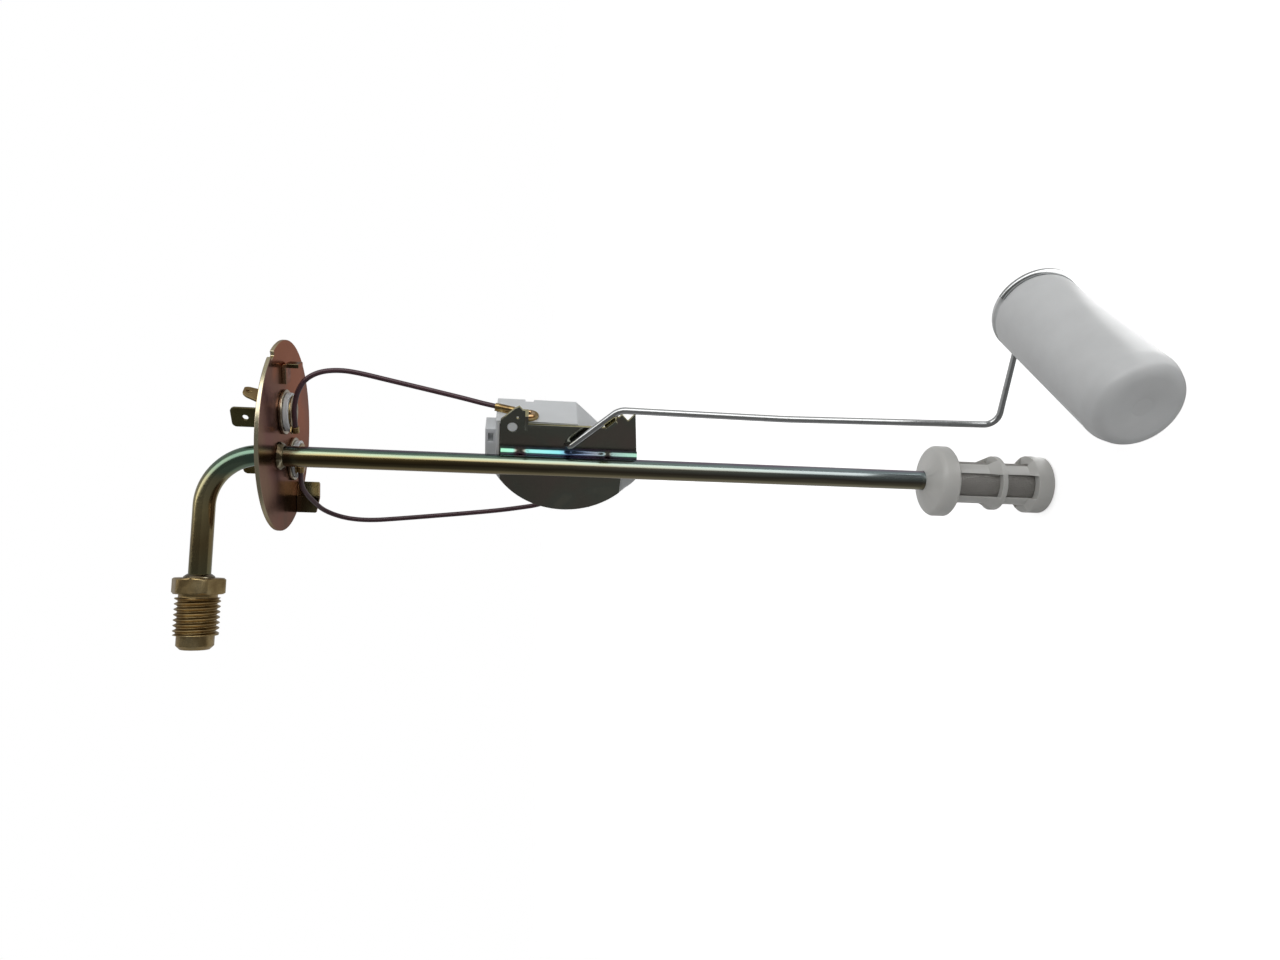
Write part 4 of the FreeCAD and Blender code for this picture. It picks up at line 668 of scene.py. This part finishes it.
def make_float_arm():
    """One round wire carried through the shaft, crank, long reach, riser and ring."""
    throw = 19.9
    crank = np.array([PIVOT_X + throw * math.cos(ARM_ANGLE), ARM_PLANE, PIVOT_Z - throw * math.sin(ARM_ANGLE)])
    centre = np.array([FLOAT_X, ARM_PLANE, FLOAT_Z])
    start = centre - np.array([WIRE_RING, 0, 0])
    shaft = np.array([PIVOT_X, ARM_PLANE, PIVOT_Z])
    corners = [shaft + np.array([0, SHAFT_DEPTH, 0]), shaft, crank, (18.1, ARM_PLANE, -147.0),
               (19.6, ARM_PLANE, -214.3), start + np.array([0, 0, 1.9]), start]
    bends = [0, 2.2, 5.0, 200.0, 4.0, 1.8, 0]
    path = rounded(corners, bends, 14, closed=False)
    angle = np.linspace(0, math.radians(252), 116)[1:]
    loop = centre + WIRE_RING * np.stack([-np.cos(angle), 0 * angle, -np.sin(angle)], -1)
    path = np.concatenate([path, loop])
    long_runs = []
    for start_point, end_point in zip(path[:-1], path[1:]):
        pieces = max(1, int(np.linalg.norm(end_point - start_point) // 2.5))
        long_runs.append(start_point + (end_point - start_point) * (np.arange(pieces) / pieces)[:, None])
    path = np.concatenate(long_runs + [path[-1:]])
    path = path[np.r_[True, np.linalg.norm(np.diff(path, axis=0), axis=1) > 1e-4]]
    wire = swept("arm_wire", path, ring_section(1.0, 28), (1, 0, 0))
    give(wire, "float_arm", "bright_steel", ["float_arm"])


def make_float():
    """A moulded float turned about its own axis, grooved for the wire and slightly waisted there."""
    near, far, radius, far_round = -63.4, -3.2, 12.1, 4.0
    seat, shoulder = 1.1, 0.25
    groove_low, groove_high = ARM_PLANE - seat, ARM_PLANE + seat
    profile = np.concatenate([
        rounded([(0.0, near + 0.5), (2.4, near + 0.5), (3.9, near + 0.1)], 1.2, 8, closed=False),
        rounded([(4.2, near + 0.05), (radius - 1.6, near), (radius, near + 5.0), (radius, far), (0.0, far)],
                [0, 5.0, 6.5, far_round, 0], 18, closed=False)[1:]])
    y = profile[:, 1]
    dense_y = np.concatenate([np.linspace(groove_low - shoulder, groove_low, 4),
                              np.linspace(groove_low, groove_high, 9)[1:-1],
                              np.linspace(groove_high, groove_high + shoulder, 4)])
    arc_y, arc_r = far - far_round, radius - far_round
    end_round = arc_r + np.sqrt(np.maximum(far_round ** 2 - (dense_y - arc_y) ** 2, 0))
    edge = np.where(dense_y > arc_y, end_round, radius)
    arc = np.sqrt(np.maximum(seat ** 2 - (np.clip(dense_y, groove_low, groove_high) - ARM_PLANE) ** 2, 0))
    depth = np.maximum(WIRE_GROOVE - seat + arc, 0)
    inside = (dense_y > groove_low + 1e-6) & (dense_y < groove_high - 1e-6)
    wall = np.where(inside, radius - depth, edge)
    keep = (y < groove_low - 0.3) | (y > groove_high + 0.3) | (profile[:, 0] < 9.0)
    below = np.arange(len(y)) < np.searchsorted(y[3:], groove_low) + 3
    before, after = profile[keep & below], profile[keep & ~below]
    line = np.concatenate([before, np.stack([wall, dense_y], -1), after])
    axes = np.array([[1, 0, 0], [0, 0, -1], [0, 1, 0]])
    obj = turned("float_body", line, (FLOAT_X, 0, FLOAT_Z), axes, 160, closed=False, sharp=40)
    return give(obj, "float_arm", "float_plastic", ["float"])


make_float_arm()
make_float()


# ---------------------------------------------------------------- strainer net and resistance wire


def make_net():
    """A plain-woven sleeve: level rings and upright strands that pass over and under each other."""
    around, levels, middle, sway, width = 72, 54, 6.16, 0.09, 0.21
    centre = np.array([TUBE_X, TUBE_Y, 0.0])
    heights = np.linspace(CAGE_FLOOR + 0.2, CAGE_TOP - 0.2, levels)
    diamond = np.array([(width, 0), (0, sway), (-width, 0), (0, -sway)])
    points, faces = [], []
    count = 0

    def strand_of(line, sideways, outwards, closed):
        nonlocal count
        ring = line[:, None] + diamond[None, :, :1] * sideways[:, None] + diamond[None, :, 1:] * outwards[:, None]
        points.append(ring.reshape(-1, 3))
        faces.append(grid_faces(len(line), 4, closed, True) + count)
        count += 4 * len(line)

    angle = np.arange(2 * around) * TURN / (2 * around)
    out = np.stack([np.cos(angle), np.sin(angle), 0 * angle], -1)
    up = np.array([0.0, 0.0, 1.0])
    for level, height in enumerate(heights):
        radius = middle + sway * np.cos(angle * around / 2 + math.pi * level)
        strand_of(centre + out * radius[:, None] + up * height, np.tile(up, (len(angle), 1)), out, True)
    step = (heights[1] - heights[0]) / 2
    for index in range(around):
        heading = out[2 * index]
        row = np.arange(2 * levels - 1)
        radius = middle - sway * np.cos(math.pi * row / 2 + math.pi * index)
        line = centre + heading * radius[:, None] + up * (heights[0] + row * step)[:, None]
        strand_of(line, np.tile(np.cross(up, heading), (len(row), 1)), np.tile(heading, (len(row), 1)), False)
    net = new_piece("woven_net", np.concatenate(points), np.concatenate(faces), 60)
    return give(net, "root", "mesh_nylon", ["strainer_mesh"])


def make_winding():
    """Resistance wire wound in close turns round the curved card."""
    turns, each, half_angle = 66, 20, math.radians(48)
    share = np.arange(turns * each + 1) / each
    corner = np.array([(-2.2, -0.7), (2.2, -0.7), (2.2, 0.7), (-2.2, 0.7)])
    loop = rounded(corner, 0.4, 3)
    length = np.r_[0, np.cumsum(np.linalg.norm(np.diff(np.vstack([loop, loop[:1]]), axis=0), axis=1))]
    where = np.mod(share, 1.0) * length[-1]
    closed = np.vstack([loop, loop[:1]])
    reach = (CARD_INNER + CARD_OUTER) / 2 + np.interp(where, length, closed[:, 0])
    depth = REAR_WALL - 0.9 + np.interp(where, length, closed[:, 1])
    angle = -half_angle + 2 * half_angle * share / turns
    path = np.stack([PIVOT_X - reach * np.cos(angle), depth, PIVOT_Z + reach * np.sin(angle)], -1)
    path = path[np.r_[True, np.linalg.norm(np.diff(path, axis=0), axis=1) > 1e-4]]
    wire = swept("wound_wire", path, ring_section(0.17, 6), (0, 1, 0), sharp=80)
    return give(wire, "root", "resistance_wire", ["resistance_winding"])


make_net()
make_winding()


# ---------------------------------------------------------------- tabs, rivets, plate step and housing corner


def make_folded_tab():
    """The lower centring tab: a fence that turns a corner towards the rim."""
    thick, height = 1.2, 6.9
    plan = rounded([(-20.8, 6.3), (-23.6, 2.25), (-28.0, 0.1)], 1.2, 6, closed=False)
    along = np.gradient(plan, axis=0)
    along /= np.linalg.norm(along, axis=1)[:, None]
    side = np.stack([-along[:, 1], along[:, 0]], -1)
    share = np.r_[0, np.cumsum(np.linalg.norm(np.diff(plan, axis=0), axis=1))]
    share /= share[-1]
    drop = height - 1.0 * np.clip((share - 0.9) / 0.1, 0, 1) ** 2 - 0.5 * np.clip((0.08 - share) / 0.08, 0, 1) ** 2
    corners = ((-0.5, 0), (0.5, 0), (0.5, 1), (-0.5, 1))
    rows = np.stack([np.stack([*(plan + side * thick * across).T, -drop * down], -1)
                     for across, down in corners], 1)
    fence = capped("tab_lower_fence", rows)
    ease_edges(fence, 0.2, 3, 40)
    return give(fence, "root", "copper_zinc", ["centring_tab_lower"])


def make_tubular_rivet(side, place, outward):
    """A hollow rivet: a rolled rim on the eyelet, open down its middle."""
    x, y, z = place
    skin = rounded([(0.62, -1.2), (0.62, 1.15), (0.95, 1.42), (1.45, 1.3),
                    (1.9, 0.95), (1.9, 0.7), (0.97, 0.7), (0.97, -1.2)], 0.22, 4)
    along = np.array([outward, 0.0, 0.0])
    level = np.array([0.0, 1.0, 0.0])
    obj = turned(f"hollow_rivet_{side}", skin, (x, y, z), np.array([level, np.cross(along, level), along]), 48)
    return give(obj, "root", "copper", [f"ring_rivet_{side}"])


def make_plate_step():
    """The step pressed along the tube: an S profile in X and Y, carried down the plate.

    It rises by 1.2 mm in front of the plate between X = 2.9 and 1.6 mm, as a smooth step, runs on level
    to the tube, and sinks by half at two dents.
    """
    inner, outer, rise = 1.6, 2.9, 1.2
    down = np.linspace(*STEP_ENDS, 140)
    dent = sum(np.exp(-((down - middle) / width) ** 2) for middle, _, width in DENTS)
    height = rise * (1 - 0.5 * dent)
    across = np.r_[outer + 0.25, np.linspace(outer, inner, 26), 1.25, 0.95]
    share = np.clip((outer - across) / (outer - inner), 0, 1)
    lift = share ** 2 * (3 - 2 * share)
    front = PLATE_FRONT - 0.005 - height[:, None] * lift
    rows = np.stack([np.broadcast_to(across, front.shape), front, np.broadcast_to(down[:, None], front.shape)], -1)
    back = rows[:, [-1, 0]].copy()
    back[:, :, 1] = PLATE_FRONT + 0.1
    step = capped("plate_step", np.concatenate([rows, back], 1), 40)
    return give(step, "root", "dark_zinc", ["bracket_plate"])


def make_corner_web():
    """The housing's lower corner is closed in front: part of a flat ring about the pivot.

    Radius runs from 20.2 mm to 24.45 mm and swells smoothly by 0.7 mm towards the corner's tip, over
    bearings of 50 to 27 degrees from -Z to -X. It is 1.5 mm thick and lies right behind the plate.
    """
    bearing = np.radians(np.linspace(50.0, 27.2, 30))
    near_tip = np.clip((math.radians(42.0) - bearing) / math.radians(12.0), 0, 1)
    outer = 24.45 + 0.7 * near_tip ** 2 * (3 - 2 * near_tip)
    inner = np.full_like(outer, 20.2)
    front = PLATE_BACK + 0.02
    back = front + 1.5
    rows = np.stack([np.stack([PIVOT_X - radius * np.sin(bearing), np.full_like(bearing, depth),
                               PIVOT_Z - radius * np.cos(bearing)], -1)
                     for radius, depth in ((inner, front), (outer, front), (outer, back), (inner, back))], 1)
    web = capped("housing_corner", rows)
    ease_edges(web, 0.3, 3, 40)
    return give(web, "root", "white_nylon", ["sender_housing"])


def shorter_wing(points):
    """The upper centring tab stands 1.1 mm nearer the rim, and its wing reaches down 4.7 mm."""
    foot, outward, share = 1.2, 1.1, 0.66
    moved = points + outward * np.array([0.95, 0.31, 0.0])
    moved[:, 2] = np.where(moved[:, 2] < -foot, -foot + share * (moved[:, 2] + foot), moved[:, 2])
    return moved


make_folded_tab()
make_plate_step()
make_corner_web()
eased_copy("centring_tab_upper", "tab_upper", "copper_zinc", 0.15, shape=shorter_wing)
make_tubular_rivet("upper", (11.5, -2.0, -71.1), 1)
make_tubular_rivet("lower", (-20.8, 1.5, -87.5), -1)


# ---------------------------------------------------------------- carried-over sheet metal and mouldings

eased_copy("mounting_flange", "flange_disc", "copper_zinc", 0.28, 3)
for tab in ("upper", "lower"):
    eased_copy(f"seal_cup_{tab}", f"cup_{tab}", "cup_zinc", 0.3, 4)
    eased_copy(f"inner_insulator_{tab}", f"inner_bush_{tab}", "white_nylon", 0.25, 3)
    eased_copy(f"outer_insulator_{tab}", f"outer_bush_{tab}", "white_nylon", 0.15)
    eased_copy(f"terminal_blade_{tab}", f"blade_{tab}", "olive_zinc", 0.12)
    eased_copy(f"terminal_rivet_{tab}", f"contact_rivet_{tab}", "brass", 0.12)
    eased_copy(f"contact_washer_{tab}", f"contact_plate_{tab}", "brass", 0.08)
    eased_copy(f"ring_terminal_{tab}", f"eyelet_{tab}", "brass", 0.1)


def narrow_tip(points):
    """The earth blade draws in to about half its width at the tip."""
    turn = math.radians(-9.1)
    level = np.array([-math.sin(turn), math.cos(turn), 0.0])
    across = points @ level
    share = np.clip((points[:, 2] - 4.5) / 4.8, 0, 1)
    return points - (0.45 * share * across)[:, None] * level


eased_copy("earth_blade", "earth_tag", "gold_zinc", 0.12, shape=narrow_tip)
eased_copy("bracket_plate", "bracket_sheet", "dark_zinc", 0.12)
eased_copy("braze_seams", "seam_fillets", "braze", 0.1)
eased_copy("sender_housing", "housing_shell", "white_nylon", 0.25)
eased_copy("resistance_card", "card_strip", "card", 0.08)
eased_copy("contact_strip", "reserve_contact", "brass", 0.06)
eased_copy("wiper_hub", "hub_turning", "hub_plastic", 0.15)
eased_copy("wiper_spring", "wiper_blade", "brass", 0.05)
eased_copy("strainer_body", "strainer_cage", "clear_nylon", 0.12)


# ---------------------------------------------------------------- floor, light and camera


def bearing_light(tree, direction):
    """Brightness by bearing: a tall pale panel stands near +X, and the unlit room lies on -Y."""

    def add(kind, operation, *values):
        node = tree.nodes.new(kind)
        node.operation = operation
        for index, value in enumerate(values):
            if isinstance(value, bpy.types.NodeSocket):
                tree.links.new(value, node.inputs[index])
            else:
                node.inputs[index].default_value = value
        return node.outputs["Value"] if operation == "DOT_PRODUCT" else node.outputs[0]

    def lobe(towards, low, high, height):
        node = tree.nodes.new("ShaderNodeMapRange")
        node.interpolation_type = "SMOOTHSTEP"
        tree.links.new(add("ShaderNodeVectorMath", "DOT_PRODUCT", level, towards), node.inputs["Value"])
        for socket, number in zip(("From Min", "From Max", "To Min", "To Max"), (low, high, 0.0, height)):
            node.inputs[socket].default_value = number
        return node.outputs["Result"]

    level = add("ShaderNodeVectorMath", "MULTIPLY", direction, (1.0, 1.0, 0.0))
    level = add("ShaderNodeVectorMath", "NORMALIZE", level)
    panel = lobe((0.97, -0.24, 0.0), 0.9, 0.975, 2.2)
    room = lobe((0.087, -0.996, 0.0), 0.3, 0.7, 0.34)
    return add("ShaderNodeMath", "SUBTRACT", add("ShaderNodeMath", "ADD", panel, 0.5), room)


def make_floor():
    """A plain pale floor that is white to the camera and keeps the shadow."""
    low = min(cad_low.z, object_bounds()[0].z) - 0.0005
    mesh = bpy.data.meshes.new("floor")
    reach = 6.0
    mesh.from_pydata([(-reach, -reach, low), (reach, -reach, low), (reach, reach, low), (-reach, reach, low)],
                     [], [(0, 1, 2, 3)])
    floor = bpy.data.objects.new("floor", mesh)
    bpy.context.scene.collection.objects.link(floor)
    surface = Finish("pale floor", Roughness=0.9)
    pale = surface.ramp(surface.noise(400.0, 2.0), [(0.0, (0.8, 0.8, 0.8)), (1.0, (0.84, 0.84, 0.84))])
    path = surface.add("ShaderNodeLightPath")
    mirrored = path.outputs["Is Glossy Ray"]
    surface.shader_input("Base Color", surface.mix(mirrored, pale, (0.04, 0.04, 0.04)))
    seen = surface.maths("MAXIMUM", path.outputs["Is Camera Ray"], path.outputs["Is Transmission Ray"])
    surface.set(surface.shader, "Emission Color", (1.0, 1.0, 1.0))
    surface.shader_input("Emission Strength", surface.maths(
        "ADD", surface.maths("MULTIPLY", seen, 0.66),
        surface.maths("MULTIPLY", mirrored, bearing_light(surface.tree, surface.place))))
    mesh.materials.append(surface.material)


def make_world():
    """A pale studio: white to the camera, lit by bearing in mirrors, and brighter from +X elsewhere."""
    world = bpy.data.worlds.new("studio")
    bpy.context.scene.world = world
    world.use_nodes = True
    tree = world.node_tree
    tree.nodes.clear()

    def add(kind, **settings):
        node = tree.nodes.new(kind)
        for name, value in settings.items():
            setattr(node, name, value)
        return node

    def math_node(operation, first, second):
        node = add("ShaderNodeMath", operation=operation)
        for index, value in enumerate((first, second)):
            if isinstance(value, bpy.types.NodeSocket):
                tree.links.new(value, node.inputs[index])
            else:
                node.inputs[index].default_value = value
        return node.outputs[0]

    path = add("ShaderNodeLightPath")
    place = add("ShaderNodeTexCoord")
    facing = add("ShaderNodeVectorMath", operation="DOT_PRODUCT")
    tree.links.new(place.outputs["Generated"], facing.inputs[0])
    facing.inputs[1].default_value = (0.8, 0.45, 0.3)
    dim = add("ShaderNodeMapRange", interpolation_type="SMOOTHSTEP")
    tree.links.new(facing.outputs["Value"], dim.inputs["Value"])
    for socket, number in zip(("From Min", "From Max", "To Min", "To Max"), (-0.6, 0.7, 0.21, 0.52)):
        dim.inputs[socket].default_value = number
    seen = math_node("MAXIMUM", path.outputs["Is Camera Ray"], path.outputs["Is Transmission Ray"])
    glossy = math_node("MULTIPLY", path.outputs["Is Glossy Ray"], math_node("SUBTRACT", 1.0, seen))
    rest = math_node("SUBTRACT", math_node("SUBTRACT", 1.0, seen), glossy)
    mirrored = math_node("MULTIPLY", glossy, bearing_light(tree, place.outputs["Generated"]))
    strength = math_node("ADD", seen, math_node("ADD", mirrored, math_node("MULTIPLY", rest, dim.outputs["Result"])))
    background = add("ShaderNodeBackground")
    background.inputs["Color"].default_value = (1.0, 1.0, 1.0, 1.0)
    tree.links.new(strength, background.inputs["Strength"])
    output = add("ShaderNodeOutputWorld")
    tree.links.new(background.outputs["Background"], output.inputs["Surface"])


def make_lamp(name, place, aim, width, height, watts):
    """A soft box turned to what it lights."""
    lamp = bpy.data.lights.new(name, "AREA")
    lamp.shape = "RECTANGLE"
    lamp.size, lamp.size_y = width, height
    lamp.energy = watts
    obj = bpy.data.objects.new(name, lamp)
    bpy.context.scene.collection.objects.link(obj)
    obj.location = place
    obj.rotation_mode = "QUATERNION"
    obj.rotation_quaternion = (Vector(aim) - Vector(place)).to_track_quat("-Z", "Y")
    obj.visible_glossy = False


def make_camera():
    """The camera at the photograph's place, turned so that +X is up in the picture."""
    eye = bpy.data.cameras.new("camera")
    eye.sensor_width = 36.0
    focal_length, picture_width = 889.27, 1280
    eye.lens = focal_length / picture_width * eye.sensor_width
    eye.clip_start = 0.01
    eye.clip_end = 20.0
    camera = bpy.data.objects.new("camera", eye)
    bpy.context.scene.collection.objects.link(camera)
    right = Vector((0.10191, -0.08684, -0.991)).normalized()
    ahead = Vector((-0.55015, 0.82506, -0.12888))
    ahead = (ahead - right * ahead.dot(right)).normalized()
    up = right.cross(ahead)
    turn = Matrix((right, up, -ahead)).transposed()
    camera.matrix_world = Matrix.Translation((0.14507, -0.23429, -0.07045)) @ turn.to_4x4()
    bpy.context.scene.camera = camera


make_floor()
make_world()
middle = (0.01, -0.01, -0.11)
make_lamp("upper soft box", (0.8, -0.12, 0.1), middle, 1.3, 1.3, 4.5)
make_lamp("rear soft box", (-0.5, 0.6, 0.4), middle, 1.0, 1.0, 2.0)
make_camera()

scene = bpy.context.scene
scene.view_settings.view_transform = "Standard"
